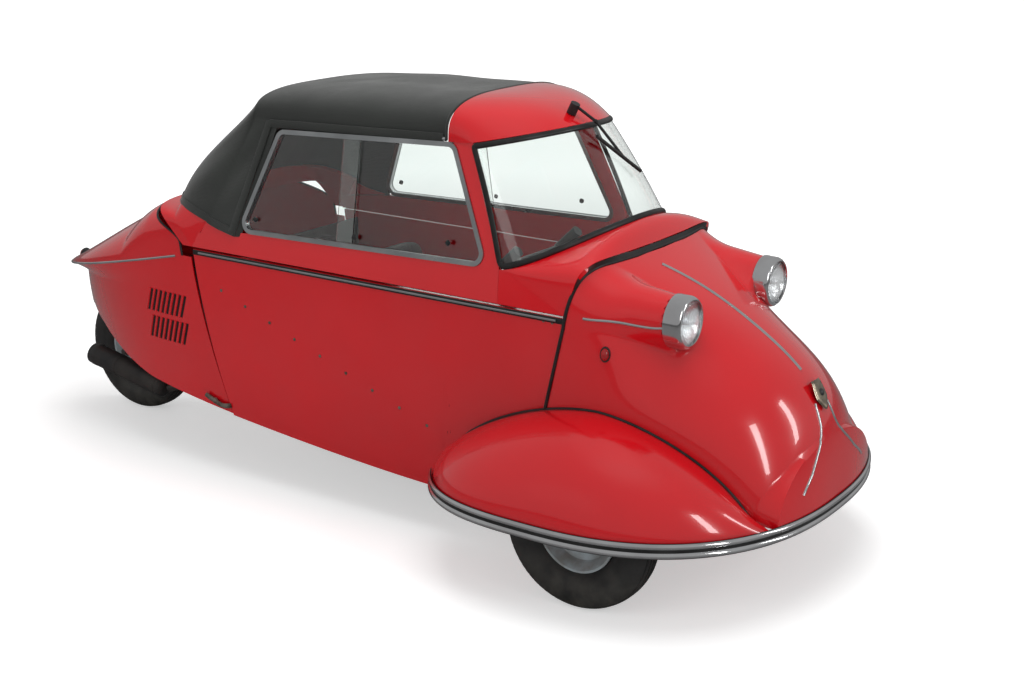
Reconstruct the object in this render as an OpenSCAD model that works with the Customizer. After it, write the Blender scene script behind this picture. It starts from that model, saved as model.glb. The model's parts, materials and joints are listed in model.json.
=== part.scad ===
// Three-wheeled bubble car with a fabric roof: construction model.
// Millimetres. +X is forward, +Y is left, +Z is up; the ground is z = 0 and the
// origin lies midway between the nose and the tail lamp.

/* [Overall] */
// Length from the nose strip to the tail lamp
overall_l = 2796; // [2500:10:3100]
// Width across the front wings, without the bumper strip
wings_w = 1224; // [1140:4:1400]
// Height of the roof above the ground
roof_z = 1205; // [1150:5:1350]
// Width of the cabin at the belt line
body_w = 704; // [640:4:800]
// Height of the belt line, where the canopy meets the tub
belt_z = 703; // [660:1:740]

/* [Wheels] */
// Distance between the front and rear axles
wheelbase = 2028; // [1950:2:2100]
// Distance between the front wheels' centre planes
track = 920; // [900:2:960]
// Outer radius of a tyre
tyre_r = 210; // [196:1:216]
// Width of a tyre
tyre_w = 95; // [80:1:100]
// Radius of the rim's flange
rim_r = 112; // [100:1:118]
// Radius of the wheel spindles
spindle_r = 10; // [8:0.5:12]
// Distance of each kingpin from the centre line
kingpin_y = 390; // [384:1:394]

/* [Panels] */
// Thickness of the tub and canopy walls
wall_t = 14; // [8:1:18]
// Thickness of the pressed outer panels
panel_t = 4; // [2:0.5:6]
// Thickness of the fabric roof with its lining
fabric_t = 6; // [4:0.5:9]
// Thickness of the glass and the side panes
glass_t = 5; // [3:0.5:6]
// Gap along the seams of the canopy and the tail cover
seam_gap = 6; // [5:0.5:9]

/* [Lamps and trim] */
// Radius of a headlamp's rim
lamp_r = 67; // [60:1:72]
// Distance of each headlamp from the centre line
lamp_y = 244; // [232:1:252]
// Height of the headlamps' centres
lamp_z = 712; // [700:1:724]
// Height of the bumper strip
strip_h = 40; // [30:1:50]
// Radius of the exhaust silencer
silencer_r = 36; // [28:1:42]

/* [Cabin] */
// Width of each seat
seat_w = 400; // [340:5:440]
// Radius of the steering bar's tube
bar_r = 12; // [9:0.5:15]
// Radius of the chassis tubes
tube_r = 16; // [12:0.5:20]

/* [Hidden] */
$fn = 48;

// ---- driving places, from the sizes above ----
half_l = overall_l / 2;
half_b = body_w / 2;                    // half width of the cabin
half_w = wings_w / 2;                   // half width of the wings
strip_t = 8;                            // thickness of the bumper strip
nose_x = half_l - strip_t - 1.2;        // front of the nose panel
tail_x = -half_l + 22;                  // rear tip of the tail cone
front_x = nose_x - 480.8;               // front axle
rear_x = front_x - wheelbase;           // rear axle
axle_z = tyre_r;
strip_z = 215;                          // lower edge of the bumper strip
wing_z = strip_z + 10;                  // lower edge of the wings and nose
fit = 0.3;                              // running clearance
seam_x = nose_x - 602.8;                // cowl seam at the belt
seam_low_x = seam_x - 62;               // cowl seam at the wing
cowl_top_x = seam_x + 69;               // cowl seam at the centre line
cowl_z = belt_z + 125;                  // cowl height at the seam
tail_seam_x = -half_l + 892;            // tail seam at the belt
deck_x = tail_seam_x - 214;             // tail seam at the centre line
deck_z = belt_z + 104;                  // deck height at the tail seam
lean = 0.16;                            // inward lean of the cabin sides, run over rise
lean_a = atan(lean);
glass_top_z = belt_z + 388;             // upper corner of the windshield
glass_low_z = belt_z + 98;              // lower corner of the windshield
glass_low_x = seam_x - 213;
glass_top_x = seam_x - 328;
header_x = seam_x - 410;                // rear edge of the roof header
hood_x = -half_l + 1098;                // rear end of the roof's flat part

function lerp(a, b, t) = a + (b - a) * t;
function lim(t) = max(0, min(1, t));
function pw(a, n) = pow(max(0, a), n);
function bezier(p, t) =
  pw(1 - t, 3) * p[0] + 3 * pw(1 - t, 2) * t * p[1] + 3 * (1 - t) * t * t * p[2] + pw(t, 3) * p[3];
function side_y(z) = half_b - lean * (z - belt_z);

// Quarter of a superellipse: [across, up] for q from 0 (top) to 1 (side), power n.
function arc_q(q, n) = [pw(sin(90 * q), 2 / n), pw(cos(90 * q), 2 / n)];

// A closed skin of thickness t over the grid f(u, v), with u and v from 0 to 1.
// out = 1 if d/du x d/dv points outwards, else -1.
module skin(f, nu, nv, t, out = 1) {
  e = 0.004;
  nrm = function(u, v)
    let (a = f(min(1, u + e), v) - f(max(0, u - e), v),
         b = f(u, min(1, v + e)) - f(u, max(0, v - e)),
         c = cross(a, b)) out * c / max(norm(c), 1e-9);
  outer = [for (i = [0:nu]) for (j = [0:nv]) f(i / nu, j / nv)];
  inner = [for (i = [0:nu]) for (j = [0:nv]) f(i / nu, j / nv) - t * nrm(i / nu, j / nv)];
  k = (nu + 1) * (nv + 1);
  at = function(i, j) i * (nv + 1) + j;
  quad = function(a, b, c, d, o) o > 0 ? [[a, d, c], [a, c, b]] : [[a, b, c], [a, c, d]];
  faces = concat(
    [for (i = [0:nu - 1]) for (j = [0:nv - 1])
      each quad(at(i, j), at(i + 1, j), at(i + 1, j + 1), at(i, j + 1), out)],
    [for (i = [0:nu - 1]) for (j = [0:nv - 1])
      each quad(k + at(i, j), k + at(i + 1, j), k + at(i + 1, j + 1), k + at(i, j + 1), -out)],
    [for (i = [0:nu - 1])
      each quad(at(i, 0), k + at(i, 0), k + at(i + 1, 0), at(i + 1, 0), out)],
    [for (i = [0:nu - 1])
      each quad(at(i, nv), k + at(i, nv), k + at(i + 1, nv), at(i + 1, nv), -out)],
    [for (j = [0:nv - 1])
      each quad(at(0, j), at(0, j + 1), k + at(0, j + 1), k + at(0, j), out)],
    [for (j = [0:nv - 1])
      each quad(at(nu, j), at(nu, j + 1), k + at(nu, j + 1), k + at(nu, j), -out)]);
  polyhedron(points = concat(outer, inner), faces = faces);
}

// A round tube or rod between two points.
module rod(a, b, r) {
  d = b - a;
  translate(a)
    rotate([0, acos(d[2] / norm(d)), atan2(d[1], d[0])])
      cylinder(h = norm(d), r = r);
}

module both_sides() {
  children();
  mirror([0, 1, 0]) children();
}

// ---- body outlines ----
// Lower edge of the tub, rising towards the tail.
function sill_z(x) = 140 + min(150, 62 * pw((400 - x) / 800, 1.5));
// Half width of the tub at height z.
function tub_y(z) = half_b - 30 * pw((belt_z - z) / 550, 3);
// Arch where a wing meets the body: height at x.
arch_x = front_x - 28;
arch_f = 420;
arch_r = 488;
arch_z = wing_z + 248;
function arch_h(x) = let (a = x > arch_x ? arch_f : arch_r, s = min(1, abs(x - arch_x) / a))
  200 + (arch_z - 200) * pw(1 - pw(s, 1.7), 1 / 1.7);
function arch_y(x) = half_b - 62 * pow(max(0, (x - arch_x) / 400), 2);
// Plan of the wings' lower edge: half width at x.
wide_x = front_x - 68;
function wing_y(x) = x > wide_x
  ? half_w * pw(1 - pw((x - wide_x) / (nose_x - wide_x), 2.4), 1 / 2.4)
  : half_w * pw(1 - pw((wide_x - x) / 480, 3), 1 / 3);
function wing_x(y) = wide_x + (nose_x - wide_x) * pw(1 - pw(abs(y) / half_w, 2.4), 1 / 2.4);

// ---- nose ----
corner_u = 0.78;                        // where the wing's arch ends along the nose
corner_x = arch_x + arch_f - 12;
function crown(u) = bezier([[cowl_top_x, cowl_z - 3], [cowl_top_x + 455, 560],
                            [nose_x - 45, 560], [nose_x, wing_z + 20]], u);
function nose_foot(u) = u < corner_u
  ? let (x = lerp(seam_low_x, corner_x, u / corner_u)) [x, arch_y(x), arch_h(x)]
  : let (y = arch_y(corner_x) * (1 - 0.985 * (u - corner_u) / (1 - corner_u)))
    [wing_x(y), y, wing_z + 20];
function nose_base(u, q) =
  let (c = crown(u), o = nose_foot(u), n = 2.1 + 6.9 * pw(1 - u, 10), a = arc_q(q, n))
  [c[0] + (o[0] - c[0]) * (0.35 * a[0] * a[0] + 0.65 * (1 - a[1])), o[1] * a[0],
   lerp(o[2], c[1], a[1])];
// Headlamp pods rise from the nose as cones along +X; each point is pushed out along
// its ray from the line (y = 0, z = pod_c) as far as the pod's circle reaches.
pod_c = 450;
pod_end = front_x + 132;
function pod_r(x) = lamp_r - 4 + max(0, pod_end - x) * 0.13;
function pod_reach(x, ang) =
  let (d = norm([lamp_y, lamp_z - pod_c]), a0 = atan2(lamp_y, lamp_z - pod_c),
       r = pod_r(x), s = d * sin(ang - a0), e = max(0, abs(s) - r))
  x > pod_end ? 0 : d * cos(ang - a0) + sqrt(max(0, r * r - s * s)) - 5 * e;
function soft_max(a, b, k) = let (h = max(0, k - abs(a - b)) / k) max(a, b) + h * h * k / 4;
function nose(u, v) =
  let (q = abs(2 * v - 1), s = v < 0.5 ? -1 : 1, p = nose_base(u, q),
       r = norm([p[1], p[2] - pod_c]), ang = atan2(p[1], p[2] - pod_c),
       r2 = soft_max(r, pod_reach(p[0], ang), 40), g = p[2] > pod_c + 60 ? r2 / r : 1)
  [p[0] + seam_gap / 2 * (1 - u), s * p[1] * g, pod_c + (p[2] - pod_c) * g];

module nose_shell() {
  color("firebrick")
    difference() {
      skin(function(u, v) nose(u, v), 22, 48, panel_t, 1);
      both_sides()
        translate([pod_end + 2, lamp_y, lamp_z]) rotate([0, 90, 0]) cylinder(h = 70, r = lamp_r + 3);
    }
}

// ---- wings ----
module wing_panel() {
  x0 = arch_x - arch_r + 34;
  x1 = corner_x - 6;
  f = function(u, v)
    let (x = lerp(x0, x1, 0.5 - 0.5 * cos(180 * u)), p = [x, arch_y(x) + 4, arch_h(x)],
         bx = lerp(wide_x - 446, wing_x(arch_y(x1) + 3), 0.5 - 0.5 * cos(180 * u)),
         by = max(wing_y(bx), arch_y(x) + 5), b = [bx, by, wing_z],
         a = arc_q(1 - v, 2.1))
    [lerp(p[0], b[0], a[1]), -lerp(p[1], b[1], a[1]), lerp(b[2], p[2], a[0])];
  skin(f, 20, 8, panel_t, -1);
}
module wing_right() {
  color("firebrick") wing_panel();
}
module wing_left() {
  color("firebrick") mirror([0, 1, 0]) wing_panel();
}

// Bumper strip: a band that follows the wings' and nose's lower edge.
module plan_band(grow) {
  n = 60;
  // columns: x, y of the right half from the rear end to the nose
  half = [for (i = [0:n]) let (a = 180 * i / n, s = -cos(a), x = s < 0
            ? wide_x + 0.86 * 480 * s
            : wide_x + (nose_x - wide_x) * s, y = wing_y(min(x, nose_x)))
          [x, -y]];
  offset(delta = grow) polygon(concat(half, [for (i = [n:-1:0]) [half[i][0], -half[i][1]]]));
}
module bumper_strip() {
  color("silver")
    translate([0, 0, strip_z])
      linear_extrude(height = strip_h)
        difference() {
          plan_band(strip_t + 1.2);
          plan_band(1.2);
          translate([-half_l, -half_l, 0]) square([half_l + wide_x - 0.85 * 480, overall_l]);
        }
}

// ---- tub ----
module tub_panel() {
  rear_x_at = function(z) tail_seam_x + 95 * pw((belt_z - z) / 430, 1.3);
  front_x_at = function(z) lerp(seam_x, seam_low_x, lim((belt_z - z) / 255)) - seam_gap / 2;
  f = function(u, v)
    let (top = belt_z - 3, low = function(x) max(sill_z(x), x > arch_x - arch_r + 20 ? arch_h(x) : 0),
         xg = lerp(tail_seam_x, seam_x, u), z0 = lerp(low(xg), top, v),
         x = lerp(rear_x_at(z0), front_x_at(z0), u), z = lerp(low(x), top, v))
    [x, -tub_y(z), z];
  skin(f, 26, 8, wall_t, 1);
}
module tub_side_right() {
  color("firebrick") tub_panel();
}
module tub_side_left() {
  color("firebrick") mirror([0, 1, 0]) tub_panel();
}

floor_z = 160;
floor_t = 6;
kick_x = front_x - 54;                  // front bulkhead
bulk_x = tail_seam_x + 56;              // rear bulkhead
well_x = arch_x - arch_r + 34;          // rear end of the footwell
well_y = 250;                           // half width of the footwell
slope_x = -50;                          // where the floor starts to rise
rise = 70;
inner_y = half_b - wall_t - 32;         // floor half width inside the tub walls
function floor_top(x) = floor_z + floor_t + rise * lim((slope_x - x) / (slope_x - bulk_x));
module floor_pan() {
  color("dimgray") {
    translate([well_x, -well_y + 6, floor_z]) cube([kick_x - well_x, 2 * well_y - 12, floor_t]);
    translate([slope_x, -inner_y, floor_z]) cube([well_x - 6 - slope_x, 2 * inner_y, floor_t]);
    translate([well_x - 7, -well_y + 6, floor_z]) cube([8, 2 * well_y - 12, floor_t]);
    rotate([90, 0, 0])
      translate([0, 0, -inner_y])
        linear_extrude(height = 2 * inner_y)
          polygon([[slope_x, floor_z], [slope_x, floor_z + floor_t],
                   [bulk_x, floor_z + rise + floor_t], [bulk_x, floor_z + rise]]);
  }
}

// Side walls of the footwell, with the shelves under the arches.
module footwell() {
  top_z = arch_z - 16;
  color("firebrick")
    both_sides()
      difference() {
        translate([well_x - 6, well_y - 6, floor_z])
          cube([kick_x - well_x + 6, half_b - wall_t - 2 - well_y, top_z - floor_z]);
        translate([well_x, well_y, floor_z - 1])
          cube([kick_x, half_b, top_z - floor_z - 5]);
        translate([well_x - 7, half_b - wall_t - 34, floor_z - 1]) cube([10, 60, 400]);
      }
}

module front_bulkhead() {
  color("firebrick")
    difference() {
      union() {
        translate([kick_x, -well_y + 6, floor_z]) cube([6, 2 * well_y - 12, belt_z - 23 - floor_z]);
        translate(column_foot - 12 * column_d) rotate([0, -column_a, 0]) cylinder(h = 72, r = 20);
      }
      translate(column_foot + (14 - fit) * column_d)
        rotate([0, -column_a, 0]) cylinder(h = 80, r = 10 + fit);
    }
}

module rear_bulkhead() {
  low = floor_z + rise + 2 * tube_r + 24;
  edge = [for (i = [0:8]) let (z = lerp(low, belt_z - 25, i / 8)) [tub_y(z) - wall_t - fit, z]];
  color("dimgray")
    translate([bulk_x - 8, 0, 0]) rotate([90, 0, 90])
      linear_extrude(height = 8)
        polygon(concat(edge, [for (i = [8:-1:0]) [-edge[i][0], edge[i][1]]]));
}

// Welded frame: two long tubes on the floor, the front axle tube with its forks and the
// cross tube that carries the swing arm.
frame_y = 205;
rail_z = floor_z + floor_t + tube_r + 0.6;
cradle_x = rear_x + 420;
module fork() {
  ear_t = 12;
  gap = 92;
  translate([front_x, kingpin_y, axle_z])
    difference() {
      union() {
        for (z = [-gap / 2 - ear_t, gap / 2])
          translate([-18, -46, z]) cube([36, 60, ear_t]);
        translate([-18, -46, -gap / 2 - ear_t]) cube([36, 14, gap + 2 * ear_t]);
      }
      translate([0, 0, -100]) cylinder(h = 200, r = 8 + fit);
    }
}
module chassis_frame() {
  color([0.12, 0.12, 0.13]) {
    both_sides() {
      rod([slope_x, frame_y, rail_z], [kick_x - 1, frame_y, rail_z], tube_r);
      rod([slope_x + 4, frame_y, rail_z], [bulk_x - 2, frame_y, rail_z + rise], tube_r);
      rod([bulk_x + 4, frame_y, rail_z + rise], [cradle_x, frame_y, rail_z + rise], tube_r);
      translate([kick_x + 6, frame_y - 30, axle_z - 40]) cube([50, 60, 80]);
      fork();
    }
    rod([front_x, -kingpin_y + 40, axle_z], [front_x, kingpin_y - 40, axle_z], tube_r);
    rod([cradle_x, -frame_y, rail_z + rise], [cradle_x, frame_y, rail_z + rise], tube_r);
    for (x = [slope_x + 60, kick_x - 60])
      rod([x, -frame_y, rail_z], [x, frame_y, rail_z], tube_r - 4);
  }
}

// ---- running gear ----
rim_w = 62;                             // width across a rim's flanges
module tyre() {
  bead_r = rim_r + fit;
  rotate([90, 0, 0])
    rotate_extrude()
      difference() {
        union() {
          translate([tyre_r - tyre_w / 2 - 2, 0]) circle(r = tyre_w / 2);
          translate([bead_r, -rim_w / 2 + 2]) square([50, rim_w - 4]);
          translate([tyre_r - 12, -24]) square([12, 48]);
        }
        translate([0, -60]) square([bead_r, 120]);
      }
}
module rim() {
  w = rim_w;
  hub_r = 30;
  rotate([90, 0, 0]) {
    rotate_extrude()
      polygon([[rim_r, -w / 2], [rim_r, -w / 2 + 6], [rim_r - 14, -w / 2 + 12],
               [rim_r - 14, w / 2 - 12], [rim_r, w / 2 - 6], [rim_r, w / 2],
               [rim_r - 6, w / 2], [rim_r - 20, w / 2 - 16], [rim_r - 26, 6],
               [hub_r + 22, 10], [hub_r + 8, 4], [hub_r, 6], [hub_r, 22], [spindle_r + fit, 22],
               [spindle_r + fit, -22], [hub_r, -22], [hub_r, -4], [hub_r + 8, -4],
               [hub_r + 22, 2], [rim_r - 26, -2], [rim_r - 20, -w / 2 + 16], [rim_r - 6, -w / 2]]);
  }
}
module front_tyre_right() {
  color([0.05, 0.05, 0.05]) translate([front_x, -track / 2, axle_z]) tyre();
}
module front_tyre_left() {
  color([0.05, 0.05, 0.05]) translate([front_x, track / 2, axle_z]) tyre();
}
module rear_tyre() {
  color([0.05, 0.05, 0.05]) translate([rear_x, 0, axle_z]) tyre();
}
module front_rim_right() {
  color("lightsteelblue") translate([front_x, -track / 2, axle_z]) rim();
}
module front_rim_left() {
  color("lightsteelblue") translate([front_x, track / 2, axle_z]) mirror([0, 1, 0]) rim();
}
module rear_rim() {
  color("lightsteelblue") translate([rear_x, 0, axle_z]) rim();
}

arm_x = 90;                             // reach of the steering arms
module knuckle() {
  translate([front_x, kingpin_y, axle_z]) {
    translate([0, 0, -45]) cylinder(h = 90, r = 14);
    translate([0, 0, -57]) cylinder(h = 114, r = 8);
    rotate([-90, 0, 0]) cylinder(h = track / 2 + 26 - kingpin_y, r = spindle_r);
    translate([0, track / 2 + 22 + fit - kingpin_y, 0]) rotate([-90, 0, 0]) cylinder(h = 6, r = 16, $fn = 6);
    rotate([-90, 0, 0]) cylinder(h = track / 2 - 22.5 - kingpin_y, r = 20);
    translate([4, -8, -30]) cube([arm_x, 16, 10]);
    translate([arm_x, 0, -30]) cylinder(h = 10, r = 14);
  }
}
module knuckle_left() {
  color("dimgray") knuckle();
}
module knuckle_right() {
  color("dimgray") mirror([0, 1, 0]) knuckle();
}
rod_z = axle_z - 20 + 0.5;
module track_rod() {
  color("dimgray") {
    rod([front_x + arm_x, -kingpin_y + 6, rod_z + 9], [front_x + arm_x, kingpin_y - 6, rod_z + 9], 7);
    both_sides()
      translate([front_x + arm_x, kingpin_y, rod_z]) cylinder(h = 18, r = 12);
  }
}

// Steering column with its bar, turning about the column's line.
bar_c = [front_x - 470, 0, belt_z + 30];
column_foot = [front_x - 60, 0, axle_z + 90];
column_d = (bar_c - column_foot) / norm(bar_c - column_foot);
column_a = acos(column_d[2]);
module steering_bar() {
  bar_y = 150;
  color([0.1, 0.1, 0.1])
    translate(column_foot + 14 * column_d)
      rotate([0, -column_a, 0]) {
        len = norm(bar_c - column_foot) - 14;
        cylinder(h = len, r = 10);
        translate([0, 0, len]) {
          rotate([90, 0, 0]) translate([0, 0, -bar_y]) cylinder(h = 2 * bar_y, r = bar_r);
          for (s = [-1, 1])
            translate([0, s * bar_y, 0]) rotate([0, 90, 0]) cylinder(h = 90, r = bar_r + 4);
        }
      }
}
module dash_panel() {
  color([0.15, 0.15, 0.16])
    union() {
      translate([seam_x - 96, -170, belt_z - 110]) cube([70, 340, 120]);
      translate([seam_x - 26, -12, belt_z - 60]) cube([kick_x - seam_x + 26 - fit, 24, 24]);
    }
}
module pedals() {
  color("dimgray")
    for (y = [-90, 90]) {
      rod([kick_x - 94, y, floor_z + 150], [kick_x - 3, y, floor_z + 190], 7);
      translate([kick_x - 84, y - 28, floor_z + 115]) rotate([0, -20, 0]) cube([10, 56, 70]);
    }
}

// Rear arm: two legs from the cradle's cross tube to the spindle of the rear wheel.
module rear_swing_arm() {
  leg_y = 78;
  color([0.12, 0.12, 0.13]) {
    both_sides()
      rod([cradle_x - tube_r - 1, leg_y, rail_z + rise], [rear_x, leg_y, axle_z], 13);
    translate([rear_x, leg_y + 16, axle_z]) rotate([90, 0, 0]) cylinder(h = 2 * leg_y + 32, r = spindle_r);
    for (s = [-1, 1])
      translate([rear_x, s * (leg_y - 17) + 0, axle_z])
        rotate([90, 0, 0]) cylinder(h = 34, r = 17, center = true);
    translate([cradle_x - tube_r - 20, -leg_y, rail_z + rise - 8]) cube([12, 2 * leg_y, 16]);
  }
}
engine_top = 560;
module engine_block() {
  low = rail_z + rise + tube_r + 14;
  color("gray") {
    translate([cradle_x - 175, -120, low]) cube([290, 250, engine_top - low]);
    for (y = [-100, 80])
      translate([cradle_x - 14, y, rail_z + rise + tube_r + fit]) cube([28, 24, 15]);
  }
}
module exhaust() {
  a = [-half_l + 590, -200, 172];
  b = [-half_l + 262, -200, 232];
  color([0.1, 0.1, 0.1]) {
    rod(a, b, silencer_r);
    rod(lerp(b, a, 0.02), b + [-22, 0, 4], 22);
    rod(a + [150, 40, 60], lerp(a, b, 0.05), 14);
    translate([cradle_x - 10, -188, 205]) cube([20, 20, rail_z + rise - tube_r - fit - 205]);
  }
}

// ---- seats ----
module seat(x, z, depth, tall) {
  translate([x, -seat_w / 2, z]) cube([depth, seat_w, 80]);
  translate([x + 8, -seat_w / 2, z + 40]) rotate([0, -10, 0]) translate([-60, 0, 0]) cube([60, seat_w, tall]);
}
module seat_front() {
  color([0.1, 0.1, 0.1]) {
    seat(-10, floor_z + 150, 330, 340);
    for (y = [-160, 160])
      translate([60, y - 12, floor_z + floor_t]) cube([180, 24, 150 - floor_t]);
  }
}
module seat_rear() {
  color([0.1, 0.1, 0.1]) {
    translate([bulk_x + fit, -seat_w / 2, floor_z + rise + 2 * tube_r + 30]) cube([70, seat_w, 380]);
    translate([bulk_x + 60, -seat_w / 2, floor_z + rise + 2 * tube_r + 30]) cube([150, seat_w, 80]);
    translate([0, seat_w / 2 - 20, 0]) rotate([90, 0, 0])
      linear_extrude(height = seat_w - 40)
        polygon([for (p = [[100, 0], [160, 0], [160, 1], [100, 1]]) let (x = bulk_x + p[0])
                 [x, p[1] > 0 ? floor_z + rise + 2 * tube_r + 34 : floor_top(x) + 0.5]]);
  }
}

// ---- lamps and trim ----
module headlamps() {
  color("silver")
    both_sides()
      translate([pod_end + 2 + fit, lamp_y, lamp_z])
        rotate([0, 90, 0])
          rotate_extrude()
            polygon([[0, 0], [lamp_r - 8, 0], [lamp_r, 6], [lamp_r + 1, 26], [lamp_r - 4, 34],
                     [lamp_r - 8, 36], [lamp_r - 10, 32], [lamp_r - 26, 40], [0, 46]]);
}
module marker_lamps() {
  x = front_x - 14;
  color("darkred")
    both_sides()
      translate([x, half_b - 2.8, belt_z - 78]) rotate([-90, 0, 14])
        rotate_extrude() polygon([[0, -4], [9, -4], [9, 4], [5, 8], [0, 9]]);
}
module nose_shield() {
  color("gray")
    translate([nose_x - 65.6, 0, 509.5]) rotate([0, 66, 0])
      linear_extrude(height = 8, center = true)
        polygon([[-44, -24], [-44, 24], [24, 20], [44, 0], [24, -20]]);
}
module belt_strips() {
  color([0.1, 0.1, 0.1])
    both_sides()
      translate([tail_seam_x + 2, half_b + 0.3, belt_z - 19])
        cube([seam_x - tail_seam_x - 10, 6, 15]);
}

// ---- canopy ----
canopy_z = belt_z + 3;
hinge_y = -half_b - 6;
function shoulder(v, x_top, x_side, top) =
  // v = 0 at the centre, 1 at the belt: a rounded box section leaning from x_top to x_side
  let (a = arc_q(v, 8)) [lerp(x_side, x_top, 1 - (0.35 * a[0] * a[0] + 0.65 * (1 - a[1]))),
                         half_b * a[0], lerp(canopy_z, top, a[1])];
function glass_base(s) = let (c = sqrt(max(0, 1 - s * s)))
  [lerp(glass_low_x, glass_low_x + 217, c), s * side_y(glass_low_z),
   glass_low_z + 100 * pw(c, 1.4)];
function glass_top(s) = let (c = pw(1 - s * s, 0.7))
  [lerp(glass_top_x, glass_top_x + 177, c), s * side_y(glass_top_z), glass_top_z + 36 * c];

// Outer face of the windshield: u from base (0) to top (1), th from -90 to 90 across,
// moved outwards by d.
function glass_raw(u, th) = let (s = sin(th))
  lerp(glass_base(s), glass_top(s), u) + [6 * sin(180 * lim(u)), 0, 0];
function glass_pt(u, th, d = 0) =
  let (a = glass_raw(u + 0.01, th) - glass_raw(u - 0.01, th),
       b = glass_raw(u, min(90, th + 1)) - glass_raw(u, max(-90, th - 1)), c = cross(b, a))
  glass_raw(u, th) + d * c / norm(c);

module canopy_cowl() {
  back = seam_gap + 2.5;
  front = function(q)
    let (p = shoulder(min(1, q / 0.8), cowl_top_x, seam_x, cowl_z + 15), k = (q - 0.8) / 0.2)
    q <= 0.8 ? p - [back, 0, 0] : [lerp(seam_x - back, glass_low_x + 0.6, k), half_b, canopy_z];
  rear = function(q)
    glass_pt(-0.0275, 90 * min(1, q / 0.8), 2) - [5 * lim((q - 0.8) / 0.2), 0, 0];
  f = function(u, v)
    let (q = abs(2 * v - 1), s = v < 0.5 ? -1 : 1, a = rear(q), b = front(q), m = lerp(a, b, u))
    [m[0], s * m[1], m[2] + 10 * sin(180 * u) * (1 - q)];
  color("firebrick") skin(f, 5, 40, wall_t, 1);
}

// Sill and windshield post of one side, in the leaning plane of the side.
function on_side(x, z) = [x, (z - belt_z) / cos(lean_a)];
frame_pts = [on_side(-325, belt_z + 68), on_side(glass_low_x - 46, belt_z + 86),
             on_side(glass_top_x - 38, belt_z + 392), on_side(-224, belt_z + 370)];
module side_plane(t_out, t_in) {
  // from t_out outside the side's outer face to t_in inside it
  translate([0, -half_b, belt_z])
    rotate([90 - lean_a, 0, 0])
      translate([0, 0, -t_in])
        linear_extrude(height = t_in + t_out) children();
}
module frame_outline(inset) {
  r = 34;
  hull()
    for (i = [0:3])
      let (p = frame_pts[i], sx = i == 0 || i == 3 ? 1 : -1, sy = i < 2 ? 1 : -1)
        translate(p + [sx * (r + 8), sy * r]) circle(r = r - inset, $fn = 32);
}
module canopy_side() {
  side_plane(0, wall_t)
    difference() {
      polygon([on_side(tail_seam_x - 6, canopy_z), on_side(glass_low_x, canopy_z),
               on_side(glass_low_x - 4, glass_low_z), on_side(glass_top_x - 6, glass_top_z - 2),
               on_side(glass_top_x - 60, glass_top_z - 2), on_side(glass_top_x - 60, canopy_z + 120),
               on_side(-340, canopy_z + 62), on_side(tail_seam_x - 6, canopy_z + 40)]);
      frame_outline(-fit);
    }
}
module canopy_side_right() {
  color("firebrick") canopy_side();
}
module canopy_side_left() {
  color("firebrick") mirror([0, 1, 0]) canopy_side();
}
module side_window_frames() {
  color("silver")
    both_sides()
      side_plane(4, wall_t)
        difference() {
          frame_outline(0);
          frame_outline(13);
        }
}
module side_panes() {
  split = lerp(-325, glass_low_x, 0.42);
  color([0.7, 0.8, 0.8, 0.4])
    both_sides() {
      side_plane(-3, 3 + glass_t - 1)
        intersection() {
          frame_outline(13 + fit);
          translate([split - 900, 0]) square([900 + 30, 500]);
        }
      side_plane(-4 - glass_t, 3 + 2 * glass_t)
        intersection() {
          frame_outline(13 + fit);
          translate([split - 30, 0]) square([900, 500]);
        }
    }
}

module windshield() {
  f = function(u, v) glass_pt(lerp(-0.015, 1.015, u), 180 * v - 90);
  color([0.7, 0.8, 0.8, 0.4]) skin(f, 4, 24, glass_t, -1);
}
// Rubber seal: strips on the base and the top edge of the windshield.
module seal_strip(u0, u1) {
  skin(function(u, v) glass_pt(lerp(u0, u1, u), 180 * v - 90, 5 + fit), 1, 24, 5, -1);
}
module windshield_seal() {
  color([0.05, 0.05, 0.05]) {
    seal_strip(-0.024, 0.035);
    seal_strip(0.965, 1.026);
  }
}

// Roof section: half width w at height z0, crowned to z1.
roof_edge_z = glass_top_z + 4;
function roof_pt(x, v, top) =
  let (q = abs(2 * v - 1), s = v < 0.5 ? -1 : 1, a = arc_q(q, 3.2), w = side_y(roof_edge_z))
  [x, s * w * a[0], lerp(roof_edge_z, top, a[1])];
module canopy_header() {
  f = function(u, v)
    let (r = roof_pt(header_x, v, roof_z), e = glass_pt(1.03, 180 * v - 90, 2), m = lerp(r, e, u))
    [m[0], m[1], lerp(r[2], e[2], pow(u, 2.2))];
  color("firebrick") skin(f, 7, 32, wall_t - 2, 1);
}

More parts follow.
